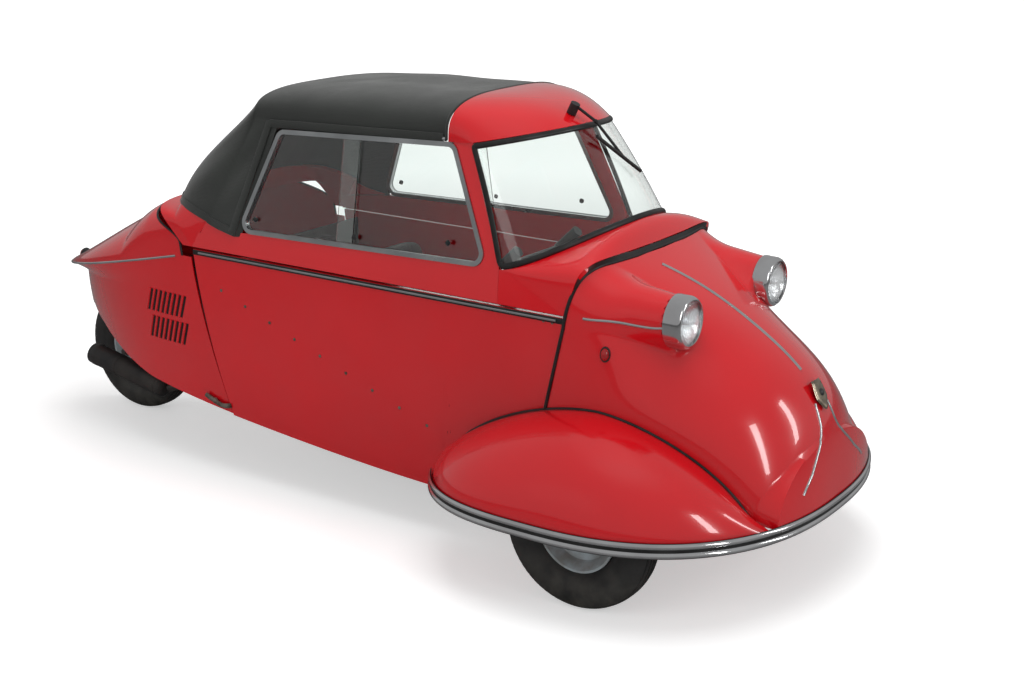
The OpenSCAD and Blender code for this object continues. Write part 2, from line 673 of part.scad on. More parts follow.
// Fabric roof: flat part from the header back to the hood's bend, then down to the deck.
hood_low_z = belt_z + 107;
function hood_x_top(u) = header_x - 3 - u * (header_x - hood_x);
module soft_top() {
  flat = 0.55;
  rear = function(q) [lerp(deck_x + 78, tail_seam_x + 50, pw(q, 3)), lerp(hood_low_z + 18, canopy_z + 80, pw(q, 4))];
  f = function(u, v)
    let (q = abs(2 * v - 1), s = v < 0.5 ? -1 : 1, a = arc_q(min(1, q / 0.8), 3.2),
         k = lim((u - flat) / (1 - flat)), t = lim(u / flat),
         w = side_y(roof_edge_z), drop = q > 0.8 ? (q - 0.8) / 0.2 : 0,
         top = roof_z - 30 * pw(t, 4),
         x0 = lerp(header_x - 3, hood_x + 62 * drop, t),
         z_roof = lerp(roof_edge_z + 3 + 4 * (1 - t), top, a[1]) - 18 * drop * t,
         p0 = [x0, w * a[0] + 2.2 * drop, z_roof],
         b = rear(min(1, q / 0.8)),
         low_z = lerp(b[1], canopy_z + 52, pw(drop, 0.6)),
         e = [lerp(b[0], -340, drop), lerp(half_b * a[0] - 10, side_y(low_z) + 8.8, drop), low_z],
         kk = lerp(k * k * (3 - 2 * k) * 0.35 + k * 0.65, k, drop))
    [lerp(p0[0], e[0], kk) - 40 * sin(180 * k) * (1 - pw(min(1, q / 0.8), 2)), s * lerp(p0[1], e[1], k), lerp(p0[2], e[2], k)];
  color([0.1, 0.1, 0.1]) skin(f, 16, 40, fabric_t, -1);
}
module hood_bows() {
  w = side_y(roof_edge_z) - 12.6;
  for (x = [60, hood_x + 112])
    color("dimgray")
      skin(function(u, v)
             let (q = abs(2 * v - 1), s = v < 0.5 ? -1 : 1, a = arc_q(q, 3.2),
                  low = 30 * pow((header_x - x) / (header_x - hood_x), 4) + fabric_t + 2)
             [x + 24 * (u - 0.5), s * w * a[0], lerp(roof_edge_z - 16, roof_z - low, a[1])],
           1, 16, 12, 1);
}
module canopy_deck() {
  f = function(u, v)
    let (q = abs(2 * v - 1), s = v < 0.5 ? -1 : 1,
         p = shoulder(q, deck_x, tail_seam_x - 44, deck_z + 6),
         e = shoulder(q, deck_x + 78, tail_seam_x - 9.4, hood_low_z - 8), m = lerp(e, p, u))
    [m[0] + seam_gap / 2, s * m[1], m[2]];
  color("firebrick") skin(f, 3, 32, wall_t - 2, -1);
}
module wiper() {
  front = glass_pt(1.03, 0, 2);
  k = 0.84;
  slope = 2.2 * (roof_z - front[2]) / (front[0] - header_x) * pow(k, 1.2);
  pivot = [lerp(header_x, front[0], k), -36, lerp(roof_z, front[2], pow(k, 2.2))];
  up = [sin(atan(slope)), 0, cos(atan(slope))];
  a = glass_pt(0.86, -7, 17);
  b = glass_pt(0.42, 16, 15);
  color([0.05, 0.05, 0.05]) {
    translate(pivot + 0.4 * up) rotate([0, atan(slope), 0]) cylinder(h = 30, r = 13);
    over = glass_pt(0.99, -3, 24);
    rod(pivot + 25 * up, over, 4);
    translate(over) sphere(r = 6);
    rod(over, lerp(a, b, 0.62), 4);
    rod(a, b, 5);
  }
}

// ---- tail cover ----
tail_hinge = [deck_x + 4, 0, deck_z + 10];
stern_x = rear_x - 172;                  // rear edge of the cover's sides, behind the wheel's top
function tail_plan(t) = pw(1 - t * t, 0.62);
module tail_shell() {
  crease = 0.42;
  low_w = 0.92;
  f = function(u, v)
    let (q = abs(2 * v - 1), s = v < 0.5 ? -1 : 1,
         up = q < crease, k = up ? q / crease : (q - crease) / (1 - crease),
         tb = sin(90 * u),
         x0 = up ? lerp(deck_x, tail_seam_x - 47, pw(k, 3)) : lerp(tail_seam_x - 8, tail_seam_x + 106, pw(k, 1.3)),
         x1 = up ? tail_x : lerp(tail_x, stern_x, lim(k * 5)),
         x = lerp(x0 - seam_gap / 2, x1, tb),
         t = lim((tail_seam_x + 120 - x) / (tail_seam_x + 120 - x1)),
         w = max(14, half_b * tail_plan(pw(t, 1.35))),
         zc = lerp(belt_z - 18, 488, lim((tail_seam_x - x) / (tail_seam_x - tail_x))),
         zt = max(zc + 8, bezier([deck_z, deck_z - 70, 560, 500], lim((deck_x - x) / (deck_x - tail_x)))),
         a = arc_q(k, lerp(7, 2.2, lim((tail_seam_x - 40 - x) / 300))),
         zb = sill_z(x) + 2 + 100 * pw(lim((tail_seam_x - 242 - x) / 400), 1.5))
    up ? [x, s * w * a[0], lerp(zc, zt, a[1])]
       : [x, s * w * (1 - (1 - low_w) * pw(k, 2)), lerp(zc, zb, k)];
  color("firebrick") skin(f, 18, 38, panel_t, -1);
}
module tail_lamp() {
  color("darkred")
    translate([tail_x - 0.5, 0, 492]) rotate([0, -90, 0])
      rotate_extrude() polygon([[0, 0], [20, 0], [22, 5], [18, 14], [11, 19.5], [0, 21.5]]);
}

chassis_frame();
floor_pan();
tub_side_right();
tub_side_left();
rear_bulkhead();
front_bulkhead();
footwell();
nose_shell();
wing_right();
wing_left();
bumper_strip();
headlamps();
marker_lamps();
nose_shield();
belt_strips();
rear_swing_arm();
engine_block();
exhaust();
seat_front();
seat_rear();
dash_panel();
pedals();
steering_bar();
track_rod();
knuckle_right();
knuckle_left();
front_tyre_right();
front_rim_right();
front_tyre_left();
front_rim_left();
rear_tyre();
rear_rim();
canopy_cowl();
canopy_side_right();
canopy_side_left();
canopy_header();
canopy_deck();
windshield();
windshield_seal();
side_window_frames();
side_panes();
soft_top();
hood_bows();
wiper();
tail_shell();
tail_lamp();
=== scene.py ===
import json
import bpy
import numpy as np
from mathutils import Matrix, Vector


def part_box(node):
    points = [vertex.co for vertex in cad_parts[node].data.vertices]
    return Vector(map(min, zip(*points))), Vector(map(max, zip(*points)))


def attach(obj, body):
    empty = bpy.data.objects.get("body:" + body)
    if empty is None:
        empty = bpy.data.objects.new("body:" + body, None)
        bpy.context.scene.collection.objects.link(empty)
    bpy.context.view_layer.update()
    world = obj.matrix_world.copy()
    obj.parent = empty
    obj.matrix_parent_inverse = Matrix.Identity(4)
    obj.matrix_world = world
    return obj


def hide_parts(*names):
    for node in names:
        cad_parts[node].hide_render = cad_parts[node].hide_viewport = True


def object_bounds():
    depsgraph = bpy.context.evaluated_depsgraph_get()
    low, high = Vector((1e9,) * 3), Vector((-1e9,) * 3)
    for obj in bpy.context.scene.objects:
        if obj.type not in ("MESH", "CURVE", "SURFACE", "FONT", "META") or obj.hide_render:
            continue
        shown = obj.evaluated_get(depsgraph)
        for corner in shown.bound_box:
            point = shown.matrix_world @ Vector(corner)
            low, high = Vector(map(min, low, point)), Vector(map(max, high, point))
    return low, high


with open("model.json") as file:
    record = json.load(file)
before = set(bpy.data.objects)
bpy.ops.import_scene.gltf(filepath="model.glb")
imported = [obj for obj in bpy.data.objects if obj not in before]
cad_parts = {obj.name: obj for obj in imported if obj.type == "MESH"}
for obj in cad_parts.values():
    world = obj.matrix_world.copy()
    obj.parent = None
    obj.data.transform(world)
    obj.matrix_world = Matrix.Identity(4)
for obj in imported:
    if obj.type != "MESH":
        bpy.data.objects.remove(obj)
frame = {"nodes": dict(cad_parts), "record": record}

bl_info = {
    "name": "Three-wheeled bubble car",
    "version": (1, 0, 0),
    "blender": (4, 5, 0),
    "location": "View3D > Sidebar > Bubble car",
    "description": "Builds the panels, trim, hood, lamps, wheels and studio of a three-wheeled bubble car",
    "category": "Object",
}

CAD_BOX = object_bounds()
JOINT = {j["name"]: j for j in frame["record"]["behaviour"]["joints"]}


def corners(node):
    """Lowest and highest corner of a frame node, in millimetres."""
    lo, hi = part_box(node)
    return np.array(lo) * 1000, np.array(hi) * 1000


# ---- driving places in millimetres, from the frame ----
STRIP_T = 8
HALF_L = round(1000 * max(abs(CAD_BOX[0][0]), abs(CAD_BOX[1][0])), 1)
FRONT_X = 1000 * JOINT["spin_right"]["pos_m"][0]
REAR_X = 1000 * JOINT["spin_rear"]["pos_m"][0]
AXLE_Z = 1000 * JOINT["spin_right"]["pos_m"][2]
HALF_TRACK = abs(1000 * JOINT["spin_right"]["pos_m"][1])
BELT_Z = 1000 * JOINT["canopy_hinge"]["pos_m"][2]
TYRE_R = AXLE_Z
NOSE_X = HALF_L - STRIP_T - 1.2
TAIL_X = -HALF_L + 22
HALF_B, HALF_W = 352.0, 612.0
ROOF_Z = 1205.0
PANEL, WALL, GLASS = 4.0, 14.0, 5.0
GAP = 6.0
STRIP_Z, STRIP_H = 215.0, 40.0
WING_Z = STRIP_Z + 10
SEAM_X = NOSE_X - 602.8
SEAM_LOW_X = SEAM_X - 62
COWL_TOP_X = SEAM_X + 69
COWL_Z = BELT_Z + 125
TAIL_SEAM_X = -HALF_L + 892
DECK_X = TAIL_SEAM_X - 214
DECK_Z = BELT_Z + 104
LEAN = 0.16
GLASS_TOP_Z, GLASS_LOW_Z = BELT_Z + 388, BELT_Z + 98
GLASS_LOW_X, GLASS_TOP_X = SEAM_X - 213, SEAM_X - 328
HEADER_X = SEAM_X - 410
HOOD_X = -HALF_L + 1098
CANOPY_Z = BELT_Z + 3
ROOF_EDGE_Z = GLASS_TOP_Z + 4
HOOD_LOW_Z = BELT_Z + 107
LAMP_R, LAMP_Y, LAMP_Z = 67.0, 244.0, 712.0
ARCH_X = FRONT_X - 28
ARCH_F, ARCH_R, ARCH_Z = 420.0, 488.0, WING_Z + 248
WIDE_X = FRONT_X - 68
CORNER_U = 0.78
CORNER_X = ARCH_X + ARCH_F - 12
POD_C, POD_END = 450.0, FRONT_X + 132
CREASE = 0.42
CREASE_END_Z = 488
STERN_X = REAR_X - 172
TAIL_FRONT_X = TAIL_SEAM_X + 120

# ---- camera: place in metres, angles in degrees, lens in millimetres on a sensor 36 wide ----
CAMERA_AT = (2.826, -3.616, 1.799)
CAMERA_ANGLES = (55.96, 16.7, 0.37)
CAMERA_LENS, SENSOR = 56.47, 36.0


# ---- small shape functions ----
def lerp(a, b, t):
    """a at t = 0 and b at t = 1, straight between."""
    return a + (b - a) * t


def lim(t):
    """t held between 0 and 1."""
    return np.clip(t, 0.0, 1.0)


def pw(a, n):
    """a to the power n, with a negative a taken as 0."""
    return np.power(np.maximum(a, 0.0), n)


def vec(*parts):
    """Points with the given coordinates along the last axis."""
    return np.stack(np.broadcast_arrays(*[np.asarray(p, float) for p in parts]), axis=-1)


def unit(a):
    """Vectors along the last axis brought to length 1."""
    return a / np.linalg.norm(a, axis=-1, keepdims=True)


def band(a, b, n, end=1.0):
    """A grid of n lines of points from line a towards line b, the last one at the fraction end."""
    return lerp(a[None], b[None], np.linspace(0, end, n)[:, None, None])


def cubic(p0, p1, p2, p3, t):
    """Cubic Bezier curve of four numbers."""
    return (1 - t) ** 3 * p0 + 3 * (1 - t) ** 2 * t * p1 + 3 * (1 - t) * t * t * p2 + t ** 3 * p3


def arc_q(q, n):
    """Quarter superellipse of power n: sine and cosine of q right angles, each to the power 2 / n."""
    return pw(np.sin(np.pi / 2 * q), 2 / n), pw(np.cos(np.pi / 2 * q), 2 / n)


def side_y(z):
    """Half width of the cabin at height z: it leans in by 0.16 above the belt."""
    return HALF_B - LEAN * (z - BELT_Z)


def sill_z(x):
    """Lower edge of the tub: level, rising by a power of 1.5 towards the tail."""
    return 140 + np.minimum(150, 62 * pw((400 - x) / 800, 1.5))


def tub_y(z):
    """Half width of the tub: full at the belt, drawn in by a cubic towards the floor."""
    return HALF_B - 30 * pw((BELT_Z - z) / 550, 3)


def arch_h(x):
    """Height of the line where a wing meets the body: a superellipse of power 1.7."""
    s = np.minimum(1, np.abs(x - ARCH_X) / np.where(x > ARCH_X, ARCH_F, ARCH_R))
    return 200 + (ARCH_Z - 200) * pw(1 - pw(s, 1.7), 1 / 1.7)


def arch_y(x):
    """Distance of that line from the centre: it draws in by a square towards the nose."""
    return HALF_B - 62 * pw((x - ARCH_X) / 400, 2)


def wing_y(x):
    """Half width of the wings' lower edge: superellipses of power 2.4 forwards and 3 rearwards."""
    return np.where(x > WIDE_X, HALF_W * pw(1 - pw((x - WIDE_X) / (NOSE_X - WIDE_X), 2.4), 1 / 2.4),
                    HALF_W * pw(1 - pw((WIDE_X - x) / 480, 3), 1 / 3))


def wing_x(y):
    """Position along the car of that edge ahead of its widest place, at a distance y from the centre."""
    return WIDE_X + (NOSE_X - WIDE_X) * pw(1 - pw(np.abs(y) / HALF_W, 2.4), 1 / 2.4)


def fold(v):
    """Splits v from 0 to 1 across the car into a distance q from the centre and a side."""
    return np.abs(2 * v - 1), np.where(v < 0.5, -1.0, 1.0)


# ---- surfaces ----
def nose_line(u):
    """The nose's centre line, a cubic Bezier curve, and its foot, which follows the wing's arch and then the
    lower edge."""
    cx = cubic(COWL_TOP_X, COWL_TOP_X + 455, NOSE_X - 45, NOSE_X, u)
    cz = cubic(COWL_Z - 3, 560, 560, WING_Z + 20, u)
    x1 = lerp(SEAM_LOW_X, CORNER_X, u / CORNER_U)
    y2 = arch_y(CORNER_X) * (1 - 0.985 * (u - CORNER_U) / (1 - CORNER_U))
    low = u < CORNER_U
    foot = [np.where(low, a, b) for a, b in ((x1, wing_x(y2)), (arch_y(x1), y2), (arch_h(x1), WING_Z + 20))]
    return cx, cz, *foot


def nose(u, v):
    """Sections from the centre line to the foot, each a quarter superellipse whose power falls from 9 at the
    cowl to 2.1. The lamp pods raise it: points move out along rays from a low centre line to the pods' cones,
    joined by a soft maximum."""
    q, s = fold(v)
    cx, cz, ox, oy, oz = nose_line(u)
    a, b = arc_q(q, 2.1 + 6.9 * pw(1 - u, 10))
    x = cx + (ox - cx) * (0.35 * a * a + 0.65 * (1 - b))
    y, z = oy * a, lerp(oz, cz, b)
    r, ang = np.hypot(y, z - POD_C), np.arctan2(y, z - POD_C)
    d, a0 = np.hypot(LAMP_Y, LAMP_Z - POD_C), np.arctan2(LAMP_Y, LAMP_Z - POD_C)
    pr = LAMP_R - 4 + np.maximum(0, POD_END - x) * 0.13
    off = d * np.sin(ang - a0)
    reach = (d * np.cos(ang - a0) + np.sqrt(np.maximum(0, pr * pr - off * off))
             - 5 * np.maximum(0, np.abs(off) - pr))
    h = np.maximum(0, 40 - np.abs(r - reach)) / 40
    lift = (np.maximum(r, reach) + h * h * 10 - r) * lim((POD_END - x) / 9)
    g = np.where(z > POD_C + 60, (r + lift) / np.maximum(r, 1e-6), 1.0)
    return vec(x + GAP / 2 * (1 - u), s * y * g, POD_C + (z - POD_C) * g)


def wing(u, v, side=-1):
    """Blends the arch line to the lower edge with a quarter superellipse of power 2.1; u eases in and out."""
    e = 0.5 - 0.5 * np.cos(np.pi * u)
    x0, x1 = ARCH_X - ARCH_R + 34, CORNER_X - 6
    x = lerp(x0, x1, e)
    py, pz = arch_y(x) + 4, arch_h(x)
    bx = lerp(WIDE_X - 446, wing_x(arch_y(x1) + 3), e)
    by = np.maximum(wing_y(bx), arch_y(x) + 5)
    a, b = arc_q(1 - v, 2.1)
    return vec(lerp(x, bx, b), side * lerp(py, by, b), lerp(WING_Z, pz, a))


def tub(u, v, side=-1):
    """The side between its slanting rear edge and the nose seam, and from the sill or arch up to the belt."""
    def rear(z):
        return TAIL_SEAM_X + 95 * pw((BELT_Z - z) / 430, 1.3)

    def front(z):
        return lerp(SEAM_X, SEAM_LOW_X, lim((BELT_Z - z) / 255)) - GAP / 2

    def low(x):
        return np.maximum(sill_z(x), np.where(x > ARCH_X - ARCH_R + 20, arch_h(x), 0))

    top = BELT_Z - 3
    z0 = lerp(low(lerp(TAIL_SEAM_X, SEAM_X, u)), top, v)
    x = lerp(rear(z0), front(z0), u)
    z = lerp(low(x), top, v)
    return vec(x, side * tub_y(z), z)


def tail_levels(x):
    """Heights of the tail cover's crease and of its lower edge, which rises by a power of 1.5."""
    zc = lerp(BELT_Z - 18, CREASE_END_Z, lim((TAIL_SEAM_X - x) / (TAIL_SEAM_X - TAIL_X)))
    return zc, sill_z(x) + 2 + 100 * pw(lim((TAIL_SEAM_X - 242 - x) / 400), 1.5)


def tail_end(k):
    """Rear end of the tail cover's side, from k = 0 at the crease to 1 at the lower edge."""
    return lerp(TAIL_X, STERN_X, lim(k * 5))


def tail_half(x, x1):
    """Half width of the tail cover: it narrows to its rear end x1 by (1 - t^2.7) to the power 0.62."""
    return HALF_B * pw(1 - pw(lim((TAIL_FRONT_X - x) / (TAIL_FRONT_X - x1)), 2.7), 0.62)


def tail(u, q, s):
    """The tail cover: q from 0 on the centre line to the crease and on to 1 at the lower edge. Above the
    crease each section is a superellipse whose power falls rearwards; below it the side draws in."""
    up = q < CREASE + 1e-9
    k = np.where(up, q / CREASE, (q - CREASE) / (1 - CREASE))
    x0 = np.where(up, lerp(DECK_X, TAIL_SEAM_X - 47, pw(k, 3)),
                  lerp(TAIL_SEAM_X - 8, TAIL_SEAM_X + 106, pw(k, 1.3)))
    x1 = np.where(up, TAIL_X, tail_end(k))
    x = lerp(x0 - GAP / 2, x1, np.sin(np.pi / 2 * u))
    w = np.maximum(14, tail_half(x, x1))
    zc, zb = tail_levels(x)
    zt = np.maximum(zc + 8, cubic(DECK_Z, DECK_Z - 70, 560, 500, lim((DECK_X - x) / (DECK_X - TAIL_X))))
    a, b = arc_q(k, lerp(7, 2.2, lim((TAIL_SEAM_X - 40 - x) / 300)))
    return vec(x, s * w * np.where(up, a, 1 - 0.08 * k * k), np.where(up, lerp(zc, zt, b), lerp(zc, zb, k)))


def flank(x, z, s):
    """Points and outward normals on the tail cover's side at given places: its level follows from z, since
    both its edges depend on x alone."""
    def at(x, z):
        zc, zb = tail_levels(x)
        k = (zc - z) / (zc - zb)
        return vec(x, s * tail_half(x, tail_end(k)) * (1 - 0.08 * k * k), z)

    nr = np.cross(at(x + 1, z) - at(x - 1, z), at(x, z + 1) - at(x, z - 1))
    nr *= np.sign(nr[:, 1:2] * s)
    return at(x, z), unit(nr)


def glass_raw(u, th):
    """Windshield: straight between a half-elliptic base and top, bulged forwards by 6 at mid height."""
    s, c = np.sin(th), np.maximum(np.cos(th), 0)
    ct = c ** 1.4
    base = vec(GLASS_LOW_X + 217 * c, s * side_y(GLASS_LOW_Z), GLASS_LOW_Z + 100 * ct)
    top = vec(GLASS_TOP_X + 177 * ct, s * side_y(GLASS_TOP_Z), GLASS_TOP_Z + 36 * ct)
    u = np.asarray(u, float)[..., None] * np.ones_like(base[..., :1])
    return lerp(base, top, u) + np.sin(np.pi * lim(u)) * np.array([6.0, 0, 0])


def glass_normal(u, th):
    """Outward unit normal of the windshield from central differences."""
    h = np.pi / 2
    a = glass_raw(u + 0.01, th) - glass_raw(u - 0.01, th)
    b = glass_raw(u, np.minimum(h, th + 0.02)) - glass_raw(u, np.maximum(-h, th - 0.02))
    return unit(np.cross(b, a))


def glass_pt(u, th, d=0.0):
    """A point of the windshield moved outwards by d."""
    u, th = np.broadcast_arrays(np.asarray(u, float), np.asarray(th, float))
    return glass_raw(u, th) + d * glass_normal(u, th)


def shoulder(q, x_top, x_side, top):
    """Rounded box section of power 8 that leans from x_top at the centre to x_side at the belt."""
    a, b = arc_q(q, 8)
    return vec(lerp(x_side, x_top, 1 - (0.35 * a * a + 0.65 * (1 - b))), HALF_B * a, lerp(CANOPY_Z, top, b))


def cowl(u, v):
    """Between the windshield's base and the nose seam, with a slight crown; the last fifth each side is the
    triangle under the windshield's corner."""
    q, s = fold(v)
    back, k = GAP + 2.5, lim((q - 0.8) / 0.2)
    p = shoulder(np.minimum(1, q / 0.8), COWL_TOP_X, SEAM_X, COWL_Z + 15) - np.array([back, 0, 0])
    corner = vec(lerp(SEAM_X - back, GLASS_LOW_X + 0.6, k), HALF_B, CANOPY_Z)
    front = np.where((q <= 0.8)[..., None], p, corner)
    rear = glass_pt(-0.0275, np.pi / 2 * np.minimum(1, q / 0.8), 2) - vec(5 * k, 0, 0)
    m = lerp(rear, front, u[..., None])
    return vec(m[..., 0], s * m[..., 1], m[..., 2] + 10 * np.sin(np.pi * u) * (1 - q))


def roof_section(x, v, top, z0=ROOF_EDGE_Z):
    """Roof section: a superellipse of power 3.2 between the side edges and the crown."""
    q, s = fold(v)
    a, b = arc_q(q, 3.2)
    return vec(x, s * side_y(ROOF_EDGE_Z) * a, lerp(z0, top, b))


def header(u, v):
    """From the roof section to the windshield's top edge, falling by a power of 2.2."""
    r, e = roof_section(HEADER_X, v, ROOF_Z), glass_pt(1.03, np.pi * (v - 0.5), 2)
    return vec(*[lerp(r[..., k], e[..., k], t) for k, t in enumerate((u, u, u ** 2.2))])


def deck(u, v):
    """The canopy's band between the hood and the tail seam, straight between two rounded box sections."""
    q, s = fold(v)
    p = shoulder(q, DECK_X, TAIL_SEAM_X - 44, DECK_Z + 6)
    e = shoulder(q, DECK_X + 78, TAIL_SEAM_X - 9.4, HOOD_LOW_Z - 8)
    m = lerp(e, p, u[..., None])
    return vec(m[..., 0] + GAP / 2, s * m[..., 1], m[..., 2])


def hood(u, v):
    """The fabric roof: the roof section slides back to the bend at u = 0.55 and then blends down to the
    deck's curve, hollowed rearwards by a half sine; beyond q = 0.8 it hangs as a valance and closes the side
    behind the window frame."""
    q, s = fold(v)
    qq = np.minimum(1, q / 0.8)
    a, b = arc_q(qq, 3.2)
    k, t = lim((u - 0.55) / 0.45), lim(u / 0.55)
    drop = lim((q - 0.8) / 0.2)
    w, top = side_y(ROOF_EDGE_Z), ROOF_Z - 30 * t ** 4
    x0 = lerp(HEADER_X - 3, HOOD_X + 62 * drop, t)
    z0 = lerp(ROOF_EDGE_Z + 3 + 4 * (1 - t), top, b) - 18 * drop * t
    low = lerp(lerp(HOOD_LOW_Z + 18, CANOPY_Z + 80, qq ** 4), CANOPY_Z + 52, pw(drop, 0.6))
    ex = lerp(lerp(DECK_X + 78, TAIL_SEAM_X + 50, qq ** 3), -340, drop)
    ey = lerp(HALF_B * a - 10, side_y(low) + 8.8, drop)
    kk = lerp(k * k * (3 - 2 * k) * 0.35 + k * 0.65, k, drop)
    x = lerp(x0, ex, kk) - 40 * np.sin(np.pi * k) * (1 - qq * qq)
    return vec(x, s * lerp(w * a + 2.2 * drop, ey, k), lerp(z0, low, k))


# ---- mesh makers ----
def put(name, verts, faces, body, finish, slot, sharp=35.0):
    """A mesh object at the origin from millimetre points and faces, smooth except at sharp edges."""
    me = bpy.data.meshes.new(name)
    me.from_pydata((np.asarray(verts).reshape(-1, 3) / 1000).tolist(), [], [tuple(f) for f in faces])
    me.validate()
    me.polygons.foreach_set("use_smooth", np.ones(len(me.polygons), bool))
    me.set_sharp_from_angle(angle=np.radians(sharp))
    me.update()
    ob = bpy.data.objects.new(name, me)
    bpy.context.scene.collection.objects.link(ob)
    ob.data.materials.append(material(finish))
    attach(ob, body)
    return ob


def grid_faces(n, m, start=0, wrap_u=False, wrap_v=False, flip=False):
    """Quads of an n by m grid of points in row order, as an array, wrapped round in u or v if asked."""
    i = np.arange(n if wrap_u else n - 1)[:, None]
    j = np.arange(m if wrap_v else m - 1)[None, :]
    i2, j2 = (i + 1) % n, (j + 1) % m
    f = np.stack([i * m + j, i2 * m + j, i2 * m + j2, i * m + j2], -1).reshape(-1, 4) + start
    return f[:, ::-1] if flip else f


def normals(p):
    """Unit normals of a grid of points from central differences along both directions."""
    n = np.cross(np.gradient(p, axis=0), np.gradient(p, axis=1))
    return n / np.maximum(np.linalg.norm(n, axis=-1, keepdims=True), 1e-9)


def walled(p, wall, centre=(0, 0, 450), out=None, push=None):
    """A panel with thickness: the grid, a copy moved inwards along its normals, or by push where that is
    given, and a rim that closes them."""
    n, m = p.shape[:2]
    nr = normals(p)
    if out is None:
        out = 1 if np.mean(np.sum(nr * (p - np.array(centre, float)), -1)) > 0 else -1
    inner = p - wall * out * nr if push is None else p + np.array(push, float)
    k = n * m
    edge = np.concatenate([np.arange(m), np.arange(1, n) * m + m - 1, (n - 1) * m + np.arange(m - 2, -1, -1),
                           np.arange(n - 2, 0, -1) * m])
    e2 = np.roll(edge, -1)
    rim = np.stack([edge, e2, e2 + k, edge + k], -1)
    if out < 0:
        rim = rim[:, ::-1]
    faces = np.concatenate([grid_faces(n, m, 0, flip=out < 0), grid_faces(n, m, k, flip=out > 0), rim])
    return np.concatenate([p.reshape(-1, 3), inner.reshape(-1, 3)]), faces


def join(parts):
    """Several (points, faces) lists as one."""
    vs, fs, k = [], [], 0
    for v, f in parts:
        v = np.asarray(v).reshape(-1, 3)
        vs.append(v)
        fs.extend([tuple(int(x) + k for x in row) for row in f])
        k += len(v)
    return np.concatenate(vs), fs


def mirrored(part):
    """The same mesh on the car's other side, with its faces turned back outwards."""
    v, f = part
    v = np.asarray(v).reshape(-1, 3) * np.array([1, -1, 1])
    return v, [tuple(row[::-1]) for row in f]


def anticlockwise(loop):
    """A closed loop of points in a plane, turned round if it runs clockwise."""
    p = np.asarray(loop, float)
    area = np.sum(p[:, 0] * np.roll(p[:, 1], -1) - np.roll(p[:, 0], -1) * p[:, 1])
    return p[::-1] if area < 0 else p


def sweep(path, section, normal, closed=False):
    """Carries a closed section of (across, out) points along a path; out follows the given normals, and
    across is the normal turned by the path's direction. Open ends are capped."""
    path, normal = np.asarray(path, float), np.broadcast_to(np.asarray(normal, float), np.shape(path))
    t = (np.roll(path, -1, 0) - np.roll(path, 1, 0)) if closed else np.gradient(path, axis=0)
    t = unit(t)
    nr = unit(normal - np.sum(normal * t, 1, keepdims=True) * t)
    side = np.cross(nr, t)
    sec = anticlockwise(section)
    p = path[:, None] + side[:, None] * sec[None, :, :1] + nr[:, None] * sec[None, :, 1:]
    n, m = p.shape[:2]
    faces = [tuple(f) for f in grid_faces(n, m, 0, wrap_u=closed, wrap_v=True, flip=True)]
    if not closed:
        faces += [tuple(range(m)[::-1]), tuple((n - 1) * m + np.arange(m))]
    return p.reshape(-1, 3), faces


def ring(r, n=12, squash=1.0):
    """A round or oval section."""
    a = np.linspace(0, 2 * np.pi, n, endpoint=False)
    return np.stack([r * np.cos(a), r * squash * np.sin(a)], -1)


def oblong(x, y):
    """A rectangular section with the given half sides."""
    return [(-x, -y), (x, -y), (x, y), (-x, y)]


def bead(width, height, n=9, foot=1.5):
    """A half-round strip section with its foot sunk into the panel."""
    a = np.linspace(0, np.pi, n)
    return np.concatenate([np.stack([width / 2 * np.cos(a), height * np.sin(a)], -1),
                           [[-width / 2, -foot], [width / 2, -foot]]])


def around(axis, n):
    """The unit axis, n angles round it, and the unit vector at each."""
    d = np.asarray(axis, float) / np.linalg.norm(axis)
    e1 = np.cross(d, [0, 0, 1.0] if abs(d[2]) < 0.9 else [1.0, 0, 0])
    e1 /= np.linalg.norm(e1)
    e2 = np.cross(d, e1)
    a = np.linspace(0, 2 * np.pi, n, endpoint=False)
    return d, a, np.cos(a)[:, None] * e1 + np.sin(a)[:, None] * e2


def turned(profile, origin, axis, n=48):
    """Turns a profile of (along, radius) points round an axis; a radius of 0 at an end makes a pole there."""
    prof, origin = np.asarray(profile, float), np.asarray(origin, float)
    d, _, ringv = around(axis, n)
    first, last = prof[0, 1] < 1e-6, prof[-1, 1] < 1e-6
    body = prof[(1 if first else 0):(len(prof) - 1 if last else len(prof))]
    p = origin + body[:, None, :1] * d + body[:, None, 1:] * ringv[None]
    k, m = p.shape[:2]
    faces = [tuple(f) for f in grid_faces(k, m, 0, wrap_v=True)]
    pts = [p.reshape(-1, 3)]
    j = np.arange(m)
    j2 = (j + 1) % m
    if first:
        pts.append((origin + prof[0, 0] * d)[None])
        faces += [(k * m, int(a1), int(b1)) for a1, b1 in zip(j, j2)]
    if last:
        at = k * m + (1 if first else 0)
        pts.append((origin + prof[-1, 0] * d)[None])
        faces += [(at, int((k - 1) * m + b1), int((k - 1) * m + a1)) for a1, b1 in zip(j, j2)]
    v = np.concatenate(pts)
    tri = np.concatenate([v[list(f)[:3]][None] for f in faces[:m * max(1, k - 1)]])
    volume = np.sum((tri[:, 0] - origin) * np.cross(tri[:, 1] - tri[:, 0], tri[:, 2] - tri[:, 0]))
    if volume < 0:
        faces = [f[::-1] for f in faces]
    return v, faces


def turned_loop(loop, origin, axis, n=48, wave=None):
    """Turns a closed loop of (along, radius) points into a ring; wave(angles, loop) adds to the radius."""
    loop = anticlockwise(loop)
    d, a, rv = around(axis, n)
    rad = loop[:, 1:2] * np.ones((1, n))
    if wave is not None:
        rad = rad + wave(a[None, :], loop)
    p = np.asarray(origin, float) + loop[:, None, :1] * d + rad[..., None] * rv[None]
    return p.reshape(-1, 3), [tuple(f) for f in grid_faces(len(loop), n, 0, wrap_u=True, wrap_v=True)]


